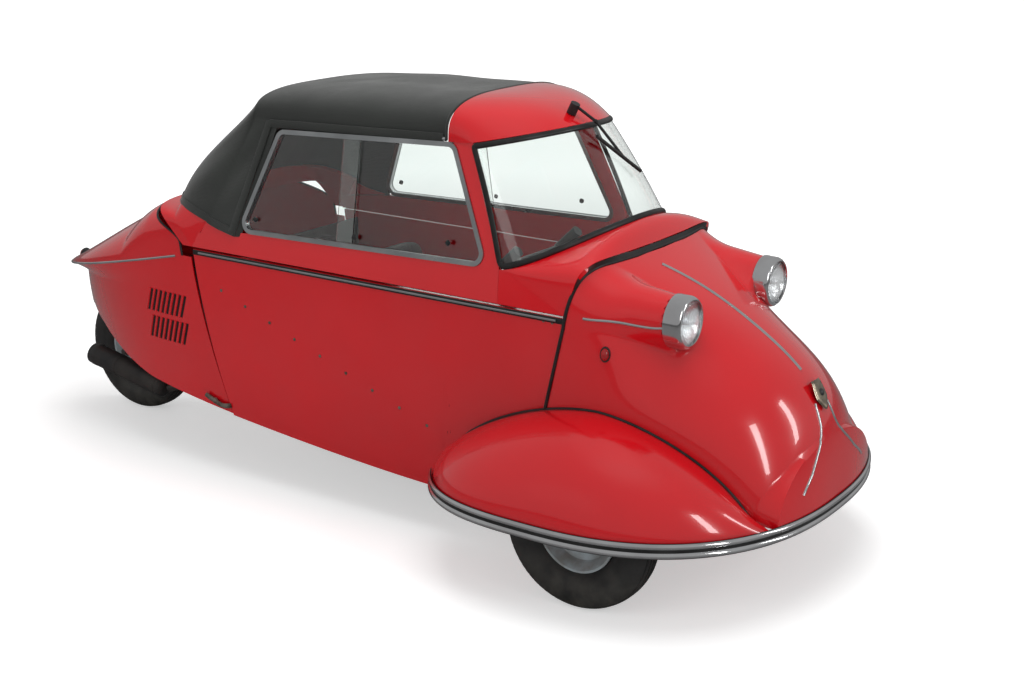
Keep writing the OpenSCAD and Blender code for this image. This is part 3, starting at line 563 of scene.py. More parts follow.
def smooth_line(points, n):
    """A curve of n points through the given points: piecewise cubic Hermite with Catmull-Rom slopes."""
    p = np.asarray(points, float)
    t = np.concatenate([[0], np.cumsum(np.linalg.norm(np.diff(p, axis=0), axis=1))])
    m = np.gradient(p, t, axis=0)
    x = np.linspace(0, t[-1], n)
    i = np.clip(np.searchsorted(t, x, side="right") - 1, 0, len(t) - 2)
    h = (t[i + 1] - t[i])[:, None]
    s = ((x - t[i]) / h[:, 0])[:, None]
    return ((2 * s ** 3 - 3 * s ** 2 + 1) * p[i] + (s ** 3 - 2 * s ** 2 + s) * h * m[i]
            + (3 * s ** 2 - 2 * s ** 3) * p[i + 1] + (s ** 3 - s ** 2) * h * m[i + 1])


def on_surface(f, points, n, nu=260, nv=420, centre=(700, 0, 300)):
    """The smooth curve on surface f nearest to the given points: each point's nearest (u, v) on a fine grid,
    a smooth line through those, and f and its outward normal along it."""
    u, v = np.meshgrid(np.linspace(0, 1, nu), np.linspace(0, 1, nv), indexing="ij")
    g = f(u, v)
    uv = []
    for p in points:
        k = np.argmin(np.sum((g - np.array(p, float)) ** 2, -1))
        uv.append((u.flat[k], v.flat[k]))
    c = np.clip(smooth_line(uv, n), 1e-4, 1 - 1e-4)
    a = f(np.minimum(1, c[:, 0] + 0.002), c[:, 1]) - f(c[:, 0] - 0.002 * (c[:, 0] > 0.002), c[:, 1])
    b = f(c[:, 0], c[:, 1] + 0.002 * (c[:, 1] < 0.998)) - f(c[:, 0], c[:, 1] - 0.002 * (c[:, 1] > 0.002))
    at = f(c[:, 0], c[:, 1])
    nr = unit(np.cross(a, b))
    nr *= np.sign(np.sum(nr * (at - np.array(centre, float)), 1, keepdims=True))
    return at, nr


def uv_grid(nu, nv):
    """Parameters from 0 to 1 on a grid."""
    return np.meshgrid(np.linspace(0, 1, nu + 1), np.linspace(0, 1, nv + 1), indexing="ij")


# ---- finishes ----
def surface(name, c1, c2, rough, patch=3.0, smear=7.0, grain=None, metallic=0.0, coat=0.0, coat_rough=0.03,
            sheen=0.0, transmission=0.0, ior=1.5, specular=0.5, dust=None):
    """A procedural finish on Object coordinates. Colour drifts between c1 and c2 over patches, and roughness
    between the two values of rough over smears. grain = (kind, size in metres, strength, height) gives the
    relief: noise, cells, weave, brushed or ribs. dust = (colour, low, high) greys the part below a height."""
    m = bpy.data.materials.get("car_" + name)
    if m:
        return m
    m = bpy.data.materials.new("car_" + name)
    m.use_nodes = True
    nt = m.node_tree
    new, link = nt.nodes.new, nt.links.new
    b = nt.nodes["Principled BSDF"]
    co = new("ShaderNodeTexCoord").outputs["Object"]

    def noise(scale, detail=4.0, source=co):
        n = new("ShaderNodeTexNoise")
        n.inputs["Scale"].default_value = scale
        n.inputs["Detail"].default_value = detail
        link(source, n.inputs["Vector"])
        return n.outputs["Fac"]

    def spread(value, low, high, f0=0.35, f1=0.65):
        r = new("ShaderNodeMapRange")
        for k, x in (("From Min", f0), ("From Max", f1), ("To Min", low), ("To Max", high)):
            r.inputs[k].default_value = x
        link(value, r.inputs["Value"])
        return r.outputs["Result"]

    def mix(fac, a, c):
        x = new("ShaderNodeMix")
        x.data_type = "RGBA"
        link(fac, x.inputs["Factor"])
        for k, val in ((6, a), (7, c)):
            if isinstance(val, tuple):
                x.inputs[k].default_value = (*val, 1)
            else:
                link(val, x.inputs[k])
        return x.outputs[2]

    colour = mix(spread(noise(patch), 0, 1), c1, c2)
    if dust:
        sep = new("ShaderNodeSeparateXYZ")
        link(co, sep.inputs[0])
        add = new("ShaderNodeMath")
        add.operation = "MULTIPLY"
        link(spread(sep.outputs["Z"], 1, 0, dust[1], dust[2]), add.inputs[0])
        link(spread(noise(24, 6), 0.1, 0.9), add.inputs[1])
        colour = mix(add.outputs[0], colour, dust[0])
    link(colour, b.inputs["Base Color"])
    link(spread(noise(smear, 6), *rough), b.inputs["Roughness"])
    if grain:
        kind, size, strength, height = grain
        if kind == "noise":
            h = noise(1 / size, 3)
        elif kind == "brushed":
            mp = new("ShaderNodeMapping")
            mp.inputs["Scale"].default_value = (0.04, 1, 1)
            link(co, mp.inputs["Vector"])
            h = noise(1 / size, 2, mp.outputs[0])
        elif kind == "cells":
            v = new("ShaderNodeTexVoronoi")
            v.inputs["Scale"].default_value = 1 / size
            link(co, v.inputs["Vector"])
            h = v.outputs["Distance"]
        else:
            axes = {"weave": ("X", "Y", "Z"), "ribs": ("Y",)}[kind]
            h = None
            for ax in axes:
                w = new("ShaderNodeTexWave")
                w.bands_direction = ax
                w.inputs["Scale"].default_value = 0.314 / size
                w.inputs["Distortion"].default_value = 0.4 if kind == "weave" else 0.0
                link(co, w.inputs["Vector"])
                if h is None:
                    h = w.outputs["Fac"]
                else:
                    s = new("ShaderNodeMath")
                    s.operation = "ADD"
                    link(h, s.inputs[0])
                    link(w.outputs["Fac"], s.inputs[1])
                    h = s.outputs[0]
        bm = new("ShaderNodeBump")
        bm.inputs["Strength"].default_value = strength
        bm.inputs["Distance"].default_value = height
        link(h, bm.inputs["Height"])
        link(bm.outputs["Normal"], b.inputs["Normal"])
    for k, x in (("Metallic", metallic), ("Coat Weight", coat), ("Coat Roughness", coat_rough),
                 ("Sheen Weight", sheen), ("Transmission Weight", transmission), ("IOR", ior),
                 ("Specular IOR Level", specular)):
        b.inputs[k].default_value = x
    return m


def tint(c):
    """A plain colour, or the colour of a (setting, factor) pair made lighter or darker."""
    if not isinstance(c[0], str):
        return c
    return tuple(min(1.0, float(x) * c[1]) for x in getattr(bpy.context.scene.car_finishes, c[0])[:3])


def material(name):
    """The finish of that name from the table below."""
    c1, c2, rough, more = FINISH[name]
    return surface(name, tint(c1), tint(c2), rough, **more)


# each finish: two colours, or (setting, factor) pairs, then the range of roughness and the rest of its look
FINISH = {
    "red_enamel": (("paint", 1.04), ("paint", 0.93), (0.16, 0.24),
                   dict(patch=1.6, coat=1.0, coat_rough=0.03, grain=("noise", 0.006, 0.03, 0.0004))),
    "black_enamel": ((0.012, 0.012, 0.013), (0.03, 0.028, 0.027), (0.3, 0.5),
                     dict(patch=12, grain=("noise", 0.003, 0.15, 0.0004),
                          dust=((0.09, 0.08, 0.07), 0.12, 0.45))),
    "floor_enamel": ((0.05, 0.05, 0.052), (0.085, 0.08, 0.075), (0.45, 0.7),
                     dict(patch=6, grain=("noise", 0.004, 0.3, 0.0006),
                          dust=((0.12, 0.11, 0.09), 0.1, 0.4))),
    "wheel_enamel": (("wheel_paint", 1.0), ("wheel_paint", 0.8), (0.3, 0.45),
                     dict(patch=14, coat=0.4, grain=("noise", 0.003, 0.1, 0.0004),
                          dust=((0.16, 0.15, 0.13), 0.05, 0.4))),
    "seal_rubber": ((0.006, 0.006, 0.006), (0.016, 0.016, 0.016), (0.32, 0.5),
                    dict(patch=20, grain=("noise", 0.0012, 0.12, 0.0002))),
    "tyre_rubber": ((0.011, 0.011, 0.011), (0.026, 0.025, 0.024), (0.5, 0.75),
                    dict(patch=10, grain=("noise", 0.0015, 0.3, 0.0004),
                         dust=((0.07, 0.065, 0.055), 0.0, 0.16))),
    "bright_trim": ((0.72, 0.73, 0.74), (0.6, 0.6, 0.61), (0.08, 0.2),
                    dict(patch=9, metallic=1.0, grain=("noise", 0.004, 0.04, 0.0003))),
    "satin_alloy": ((0.56, 0.58, 0.59), (0.44, 0.46, 0.47), (0.26, 0.4),
                    dict(patch=11, metallic=1.0, grain=("brushed", 0.0008, 0.12, 0.0002))),
    "clear_glass": ((0.95, 0.98, 0.965), (0.9, 0.95, 0.93), (0.0, 0.025),
                    dict(patch=2, transmission=1.0, ior=1.45, smear=3)),
    "fluted_glass": ((0.97, 0.98, 0.98), (0.92, 0.94, 0.95), (0.02, 0.06),
                     dict(patch=5, transmission=1.0, ior=1.45, grain=("ribs", 0.006, 0.5, 0.0012))),
    "red_lens": ((0.42, 0.006, 0.008), (0.28, 0.004, 0.006), (0.08, 0.16),
                 dict(patch=30, coat=0.6, specular=0.6, grain=("cells", 0.004, 0.25, 0.0006))),
    "cast_alloy": ((0.3, 0.3, 0.31), (0.2, 0.2, 0.2), (0.45, 0.65),
                   dict(patch=10, metallic=0.9, grain=("cells", 0.003, 0.4, 0.0008))),
    "stove_black": ((0.011, 0.011, 0.012), (0.035, 0.028, 0.024), (0.34, 0.6),
                    dict(patch=9, grain=("noise", 0.002, 0.3, 0.0006))),
    "grained_vinyl": ((0.014, 0.014, 0.015), (0.028, 0.027, 0.027), (0.42, 0.58),
                      dict(patch=8, sheen=0.15, grain=("cells", 0.0025, 0.5, 0.0005))),
    "moulded_black": ((0.01, 0.01, 0.011), (0.022, 0.022, 0.022), (0.35, 0.5),
                      dict(patch=16, grain=("noise", 0.0014, 0.2, 0.0003))),
    "hood_cloth": (("hood_colour", 1.0), ("hood_colour", 1.7), (0.36, 0.55),
                   dict(patch=4, sheen=0.25, grain=("weave", 0.0022, 0.35, 0.0005))),
    "aged_brass": ((0.42, 0.36, 0.27), (0.26, 0.22, 0.17), (0.25, 0.45),
                   dict(patch=60, metallic=1.0, grain=("noise", 0.003, 0.3, 0.0005))),
    "worn_steel": ((0.3, 0.27, 0.23), (0.12, 0.1, 0.08), (0.35, 0.7),
                   dict(patch=40, metallic=0.8, grain=("noise", 0.004, 0.5, 0.0008))),
    "slot_shadow": ((0.012, 0.003, 0.003), (0.02, 0.006, 0.005), (0.6, 0.8),
                    dict(patch=12, grain=("noise", 0.003, 0.2, 0.0003))),
}
SLOT_FINISH = {
    "red_paint": "red_enamel", "black_paint": "black_enamel", "grey_paint": "floor_enamel",
    "wheel_paint": "wheel_enamel", "black_rubber": "seal_rubber", "tyre_rubber": "tyre_rubber",
    "polished_metal": "bright_trim", "satin_alloy": "satin_alloy", "clear_glass": "clear_glass",
    "red_lens": "red_lens", "cast_alloy": "cast_alloy", "sooty_steel": "stove_black",
    "black_vinyl": "grained_vinyl", "black_plastic": "moulded_black", "hood_fabric": "hood_cloth",
}


# ---- settings ----
def colour(name, description, default):
    return bpy.props.FloatVectorProperty(name=name, description=description, subtype="COLOR", size=3,
                                         min=0, max=1, default=default)


def length(name, description, default, low, high):
    return bpy.props.FloatProperty(name=name, description=description, default=default, min=low, max=high,
                                   unit="LENGTH")


def count(name, description, default, low, high):
    return bpy.props.IntProperty(name=name, description=description, default=default, min=low, max=high)


class CarFinishes(bpy.types.PropertyGroup):
    paint: colour("Body paint", "Colour of the enamel on the panels", (0.60, 0.0025, 0.008))
    wheel_paint: colour("Wheel paint", "Colour of the wheel discs", (0.36, 0.42, 0.45))
    hood_colour: colour("Hood cloth", "Colour of the coated hood cloth", (0.012, 0.014, 0.012))


class CarSizes(bpy.types.PropertyGroup):
    strip_width: length("Bright strip width", "Width of the strips on the nose", 0.010, 0.004, 0.03)
    bead_radius: length("Seam bead radius", "Radius of the rubber beads in the seams", 0.0042, 0.002, 0.01)
    hood_sag: length("Hood sag", "How far the cloth sags between its bows", 0.004, 0.0, 0.015)
    louvres: count("Louvres", "Number of louvres in each row of the tail cover", 8, 2, 14)
    rivets: count("Rivets", "Number of rivets along the tub's brace", 8, 0, 20)


# ---- operators ----
class CAR_OT_panels(bpy.types.Operator):
    """Build the nose, the tub sides, the cowl, the header and the deck as pressed panels"""
    bl_idname = "car.panels"
    bl_label = "Body panels"

    def execute(self, context):
        u, v = uv_grid(130, 240)
        panel = walled(nose(u, v), PANEL, centre=(700, 0, 300))
        ob = put("nose_panel", *panel, "tub", "red_enamel", "red_paint", 50)
        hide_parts("nose_shell")
        u, v = uv_grid(220, 40)
        for side, node in ((-1, "tub_side_right"), (1, "tub_side_left")):
            panel = walled(tub(u, v, side), WALL, centre=(0, 0, 430), push=(0, -side * WALL, 0))
            ob = put(node.replace("tub_side", "tub_panel"), *panel, "tub", "red_enamel", "red_paint")
            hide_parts(node)
        u, v = uv_grid(24, 240)
        panel = walled(cowl(u, v), WALL, centre=(600, 0, 500))
        ob = put("cowl_panel", *panel, "canopy", "red_enamel", "red_paint", 50)
        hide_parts("canopy_cowl")
        u, v = uv_grid(40, 180)
        panel = walled(header(u, v), WALL - 2, centre=(400, 0, 800))
        ob = put("header_panel", *panel, "canopy", "red_enamel", "red_paint", 50)
        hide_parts("canopy_header")
        # the deck, carried up under the hood's hem, with a quarter patch on each side
        u, v = uv_grid(16, 200)
        low = deck(u, v)
        top = hood(np.full_like(v[0], 0.972), 0.1 + 0.8 * v[0]) * [1, 0.985, 1] + [5, 0, 0]
        rise = band(top, low[0], 12)[:-1]
        parts = [walled(np.concatenate([rise, low]), WALL - 2, centre=(-500, 0, 600))]
        t = np.linspace(0, 1, 40)
        for s in (-1, 1):
            a = hood(np.full(40, 0.985), 0.5 + s * (0.4 + 0.1 * t))
            a[:, 1] = s * (side_y(a[:, 2]) - 0.5)
            z = lerp(CANOPY_Z + 34, CANOPY_Z + 54, t)
            b = vec(lerp(TAIL_SEAM_X + 20, -338, t), s * (side_y(z) - 0.5), z)
            parts.append(walled(band(a, b, 8), 3, centre=(-400, 0, 700)))
            x = lerp(GLASS_TOP_X - 66, GLASS_TOP_X - 2, t)
            z = GLASS_TOP_Z - 16 + 30 * np.linspace(0, 1, 6)[:, None]
            parts.append(walled(vec(x, s * (side_y(z) - 1.5), z), 3, centre=(0, 0, GLASS_TOP_Z)))
        ob = put("deck_panel", *join(parts), "canopy", "red_enamel", "red_paint", 50)
        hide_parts("canopy_deck")
        return {"FINISHED"}


class CAR_OT_wings(bpy.types.Operator):
    """Build the two front wings, which skirt the steered wheels"""
    bl_idname = "car.wings"
    bl_label = "Front wings"

    def execute(self, context):
        u, v = uv_grid(140, 60)
        for side, node in ((-1, "wing_right"), (1, "wing_left")):
            panel = walled(wing(u, v, side), PANEL, centre=(850, 0, 150))
            ob = put(node.replace("wing", "wing_panel"), *panel, "tub", "red_enamel", "red_paint", 50)
            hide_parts(node)
        return {"FINISHED"}


class CAR_OT_tail(bpy.types.Operator):
    """Build the tail cover with its closing rib, bright crease strips, louvres and tail lamp"""
    bl_idname = "car.tail"
    bl_label = "Tail cover"

    def execute(self, context):
        q = np.concatenate([np.linspace(1, CREASE, 50), np.linspace(CREASE, 0, 60)[1:]])
        qs = np.concatenate([q, q[::-1][1:]])
        ss = np.concatenate([-np.ones(len(q)), np.ones(len(q) - 1)])
        u = np.linspace(0, 1, 120)[:, None] * np.ones((1, len(qs)))
        p = tail(u, qs[None] * np.ones_like(u), ss[None] * np.ones_like(u))
        panel = walled(p, PANEL, centre=(-800, 0, 450))
        ob = put("tail_panel", *panel, "tail_cover", "red_enamel", "red_paint", 50)
        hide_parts("tail_shell")
        # the closing rib up the rear end
        k = np.linspace(0.05, 1.0, 24)
        end = tail(np.ones(24), CREASE + (1 - CREASE) * k, np.ones(24)) * [1, 0, 1] + [1.5, 0, 0]
        rib = sweep(end, [(-13, -3), (13, -3), (13, 1), (6, 2.5), (-6, 2.5), (-13, 1)], (-1.0, 0, -0.3))
        put("tail_rib", *rib, "tail_cover", "red_enamel", "red_paint")
        # bright strips along the crease, both sides
        parts = []
        us = np.linspace(0.02, 0.985, 90)
        for s in (-1, 1):
            at = tail(us, np.full(90, CREASE), np.full(90, float(s)))
            t = np.gradient(at, axis=0)
            nr = np.cross(t, [0, 0, 1.0]) * -1
            nr *= np.sign(nr[:, 1:2] * s)
            parts.append(sweep(at + 0.5 * unit(nr), bead(7, 3.0), nr))
        put("tail_crease_strips", *join(parts), "tail_cover", "bright_trim", "polished_metal")
        # louvres in two rows a side: a red ridge and, 9 mm on, a thin dark strip of painted shade that stands
        # for the slot
        ridges, slots = [], []
        n = context.scene.car_sizes.louvres
        for s in (-1, 1):
            for z_top, z_low in ((548, 478), (462, 392)):
                for i in range(n):
                    x = lerp(-722.0, -574.0, i / (n - 1))
                    for store, dx in ((ridges, 0.0), (slots, 9.0)):
                        z = np.linspace(z_low, z_top, 14)
                        at, nr = flank(x + dx + 0.36 * (z - z.mean()), z, s)
                        store.append(sweep(at, bead(7, 3.4, 7) if store is ridges else bead(9, 0.9, 5), nr))
        put("louvre_ridges", *join(ridges), "tail_cover", "red_enamel", "red_paint")
        put("louvre_slots", *join(slots), "tail_cover", "slot_shadow", "red_paint")
        # lamp: domed red lens in a dark collar
        x0, z0 = 1000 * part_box("tail_lamp")[1].x, 492.0
        dome = [(21.4, 0), (20.6, 6), (18, 12), (13.5, 17), (8, 20), (4, 20.6), (4, 0)]
        cup = [(5, 0), (5.5, 21), (4, 22), (0.5, 22), (-16, 16), (-16, 0)]
        lens, collar = [turned(line, (x0, 0, z0), (-1, 0, 0)) for line in (dome, cup)]
        ob = put("tail_lamp_lens", *lens, "tail_cover", "red_lens", "red_lens")
        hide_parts("tail_lamp")
        put("tail_lamp_collar", *collar, "tail_cover", "moulded_black", "red_lens")
        return {"FINISHED"}


def plan_path(n):
    """The wings' lower edge in plan from the right rear end round the nose to the left rear end, with its
    outward normals; the points are spaced evenly along it."""
    a = np.linspace(0, np.pi, 600)
    s = -np.cos(a)
    x = np.where(s < 0, WIDE_X + 0.85 * 480 * s, WIDE_X + (NOSE_X - WIDE_X) * s)
    right = vec(x, -wing_y(np.minimum(x, NOSE_X)), 0)
    p = np.concatenate([right, (right * [1, -1, 1])[::-1][1:]])
    d = np.concatenate([[0], np.cumsum(np.linalg.norm(np.diff(p, axis=0), axis=1))])
    keep = np.concatenate([[True], np.diff(d) > 1e-6])
    t = np.linspace(0, d[-1], n)
    p = np.stack([np.interp(t, d[keep], p[keep, k]) for k in range(3)], -1)
    return p, unit(np.cross(np.gradient(p, axis=0), [0, 0, 1.0]))


class CAR_OT_bumper(bpy.types.Operator):
    """Build the polished strip with its two ribs and dark grooves round the wings and nose"""
    bl_idname = "car.bumper"
    bl_label = "Bumper strip"

    def execute(self, context):
        p, nr = plan_path(420)
        lo, hi = STRIP_Z, STRIP_Z + STRIP_H
        mid = (lo + hi) / 2

        def rib(z0, z1, d0, d1):
            a = np.linspace(-1, 1, 9)
            crown = zip((z0 + z1) / 2 - mid + a * (z1 - z0) / 2, d1 - (d1 - d0 - 2) * a * a)
            return [(z0 - mid, d0), *crown, (z1 - mid, d0)]

        at = p + [0, 0, mid]
        parts = [sweep(at, rib(lo + 1, lo + 16, 2.2, 9.1), nr), sweep(at, rib(hi - 16, hi - 1, 2.2, 9.1), nr)]
        ob = put("bumper_ribs", *join(parts), "tub", "bright_trim", "polished_metal")
        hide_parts("bumper_strip")
        h = STRIP_H / 2
        groove = sweep(at, [(-h, 1.3), (h, 1.3), (h, 3.2), (-h, 3.2)], nr)
        put("bumper_groove", *groove, "tub", "seal_rubber", "black_rubber")
        return {"FINISHED"}


class CAR_OT_nose_trim(bpy.types.Operator):
    """Build the bright strips on the nose and lamp pods and the bare shield ornament"""
    bl_idname = "car.nose_trim"
    bl_label = "Nose trim"

    def execute(self, context):
        w = 1000 * context.scene.car_sizes.strip_width
        spine = [(850, 0, 800), (970, 0, 746), (1090, 0, 685), (1200, 0, 620), (1275, 0, 575)]
        lines = [(spine, 80, w, 4.2)]
        for s in (-1, 1):
            chin = [(1325, s * 30, 493), (1352, s * 60, 412), (1350, s * 120, 350), (1342, s * 176, 302)]
            pod = [(830, s * 350, 708), (935, s * 335, 707), (1036, s * 315, 705)]
            lines += [(chin, 60, w * 0.75, 3.4), (pod, 40, w * 0.8, 3.4)]
        parts = []
        for line, n, width, height in lines:
            at, nr = on_surface(nose, line, n)
            parts.append(sweep(at, bead(width, height), nr))
        put("nose_strips", *join(parts), "tub", "bright_trim", "polished_metal")
        # the shield: a domed plate with a straight top and a pointed foot, and a small domed boss
        lo, hi = corners("nose_shield")
        c = (lo + hi) / 2
        along = np.array([hi[0] - lo[0], 0, -(hi[2] - lo[2])])
        along /= np.linalg.norm(along)
        up = np.array([-along[2], 0, along[0]])
        t = np.linspace(-1, 1, 40)[:, None]
        b = np.linspace(-1, 1, 24)[None]
        half = 29 * np.minimum(1, np.maximum(0.02, (1 - t) * 1.25)) ** 0.6 * (0.86 + 0.14 * np.cos(2.2 * t))
        crown = 5.5 * np.sqrt(np.maximum(0, 1 - b ** 2)) * np.minimum(1, (1 - np.abs(t)) * 6 + 0.15)
        across = np.array([0, 1.0, 0])
        p = c + t[..., None] * 40 * along + (b * half)[..., None] * across + crown[..., None] * up
        dome = [(9, 0), (8.4, 5), (6, 9), (2, 11), (1, 13), (-2, 13.5), (-2, 0)]
        boss = turned(dome, c + 1.5 * up - 6 * along, up, 32)
        put("ornament_boss", *boss, "tub", "moulded_black", "polished_metal")
        ob = put("nose_ornament", *walled(p, 3, centre=c - 60 * up), "tub", "aged_brass", "polished_metal")
        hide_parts("nose_shield")
        return {"FINISHED"}


class CAR_OT_seams(bpy.types.Operator):
    """Build the rubber beads in the seams of the wings, nose and tail cover"""
    bl_idname = "car.seams"
    bl_label = "Seam beads"

    def execute(self, context):
        r = 1000 * context.scene.car_sizes.bead_radius
        x = lerp(ARCH_X - ARCH_R + 84, CORNER_X + 2, 0.5 - 0.5 * np.cos(np.linspace(0, np.pi, 160)))
        parts = [sweep(vec(x, s * (arch_y(x) + 1.5), arch_h(x) + 1.0), ring(r), (0, s, 0)) for s in (-1, 1)]
        put("wing_beads", *join(parts), "tub", "seal_rubber", "black_rubber")
        v = 0.5 - 0.5 * np.cos(np.pi * np.linspace(0, 1, 420))
        v = np.interp(np.linspace(0, 1, 260), np.linspace(0, 1, 420), v)
        edge, front = nose(np.zeros(260), v), cowl(np.ones(260), v)
        out = unit((edge - [0, 0, 430]) * [0, 1, 1])
        parts = [sweep(edge + [-2.5, 0, 0] + 1.6 * out, ring(r * 1.1), (1.0, 0, 0))]
        # a filler under the bead, short of the seam's lower ends
        upper = (v > 0.14) & (v < 0.86)
        filler = band((edge - out)[upper], (front - out)[upper], 4, 0.9)
        parts.append(walled(filler, 2.0, centre=(500, 0, 430)))
        put("cowl_bead", *join(parts), "tub", "seal_rubber", "black_rubber")
        q = np.concatenate([np.linspace(CREASE, 0, 70), np.linspace(0, CREASE, 70)[1:]])
        s = np.concatenate([-np.ones(70), np.ones(69)])
        at = tail(np.zeros(139), q, s) + np.array([2.0, 0, -1.0])
        put("tail_bead", *sweep(at, ring(r * 0.8), (1.0, 0, 0)), "tail_cover", "seal_rubber", "black_rubber")
        return {"FINISHED"}


class CAR_OT_headlamps(bpy.types.Operator):
    """Build the headlamps: bezel, fluted glass, reflector and bulb cap"""
    bl_idname = "car.headlamps"
    bl_label = "Headlamps"

    def execute(self, context):
        x0 = corners("headlamps")[0][0]
        r = LAMP_R
        bez, glass, bowl = [], [], []
        rim = [(0, r - 12), (0, r - 8), (-9, r - 7), (-9, r + 1.6), (-2, r + 1.9), (5, r + 1.2),
               (24, r + 0.8), (31, r - 1.5), (36, r - 6), (36.5, r - 9.5), (33, r - 11), (28, r - 11.5),
               (4, r - 12)]
        a = np.linspace(0, 1, 14)
        dome = [(31 + 13.5 * (1 - t * t), (r - 11) * t) for t in a]
        back = [(27.5 + 10 * (1 - t * t), (r - 11) * t) for t in a[::-1]]
        cup = [(1 + 26 * t ** 2.2, (r - 11.6) * t) for t in a]
        cup2 = [(26 * t ** 2.2 - 0.5, (r - 11) * t) for t in a[::-1]]
        for s in (-1, 1):
            o = (x0, s * LAMP_Y, LAMP_Z)
            bez.append(turned_loop(rim, o, (1, 0, 0), 72))
            glass.append(turned(dome + back, o, (1, 0, 0), 72))
            bowl.append(turned(cup + cup2, o, (1, 0, 0), 60))
            bowl.append(turned([(24, 0), (23, 5), (18, 8), (4, 9), (4, 0)], o, (1, 0, 0), 24))
        ob = put("lamp_bezels", *join(bez), "tub", "bright_trim", "polished_metal", 60)
        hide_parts("headlamps")
        put("lamp_glasses", *join(glass), "tub", "fluted_glass", "clear_glass", 60)
        put("lamp_reflectors", *join(bowl), "tub", "bright_trim", "polished_metal", 60)
        return {"FINISHED"}


class CAR_OT_markers(bpy.types.Operator):
    """Build the side marker lamps: oval red lenses on black bases"""
    bl_idname = "car.markers"
    bl_label = "Marker lamps"

    def execute(self, context):
        lens, base = [], []
        dome = [(13, 0), (12.5, 5), (10.5, 9), (7, 12), (3, 13.2), (0.5, 13.4), (0.5, 0)]
        foot = [(2.4, 0), (3.6, 13.6), (3.4, 15.6), (1.6, 16.6), (-4, 16.8), (-4, 0)]
        for s in (-1, 1):
            at, nr = on_surface(nose, [(880, s * 355, 627), (898, s * 352, 626), (912, s * 350, 625)], 3)
            e1 = np.cross([0, 0, 1.0], nr[1])
            e1 /= np.linalg.norm(e1)
            e2 = np.cross(nr[1], e1)
            for store, prof in ((lens, dome), (base, foot)):
                pts, fcs = turned(prof, (0, 0, 0), (0, 0, 1.0), 36)
                across, upwards = 0.82 * pts[:, :1] * e1, 1.2 * pts[:, 1:2] * e2
                store.append((at[1] + across + upwards + pts[:, 2:] * nr[1], fcs))
        ob = put("marker_lenses", *join(lens), "tub", "red_lens", "red_lens")
        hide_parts("marker_lamps")
        put("marker_bases", *join(base), "tub", "moulded_black", "polished_metal")
        return {"FINISHED"}


class CAR_OT_glazing(bpy.types.Operator):
    """Build the wrap-round windshield with its rubber seal and the knobs of the sliding panes"""
    bl_idname = "car.glazing"
    bl_label = "Windshield"

    def execute(self, context):
        h = np.pi / 2
        u, v = uv_grid(24, 140)
        p = glass_pt(lerp(-0.012, 1.012, u), lerp(-h, h, v))
        pane = walled(p, GLASS, centre=(400, 0, 850))
        ob = put("windshield_glass", *pane, "canopy", "clear_glass", "clear_glass")
        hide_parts("windshield")
        th = lerp(-h, h, np.linspace(0, 1, 110))
        up = np.linspace(0.0, 1.0, 24)[1:-1]
        uu = np.concatenate([np.zeros(110), up, np.ones(110), up[::-1]])
        tt = np.concatenate([th, np.full(22, h), th[::-1], np.full(22, -h)])
        at, nr = glass_pt(uu, tt, 1.0), glass_normal(uu, tt)
        for _ in range(2):
            at = (np.roll(at, 1, 0) + 2 * at + np.roll(at, -1, 0)) / 4
        seal = sweep(at, ring(8.0, 12, 0.62), nr, closed=True)
        ob = put("windshield_rubber", *seal, "canopy", "seal_rubber", "black_rubber")
        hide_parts("windshield_seal")
        knob = [(7, 0), (6.5, 6), (3, 7.5), (1.5, 6), (-2, 5), (-2, 0)]
        knobs = [turned(knob, (x, s * (side_y(z) - 1), z), (0, s, LEAN), 20)
                 for s in (-1, 1) for x, z in ((-268, 815), (404, 838), (92, 812))]
        put("pane_knobs", *join(knobs), "canopy", "moulded_black", "black_plastic")
        return {"FINISHED"}


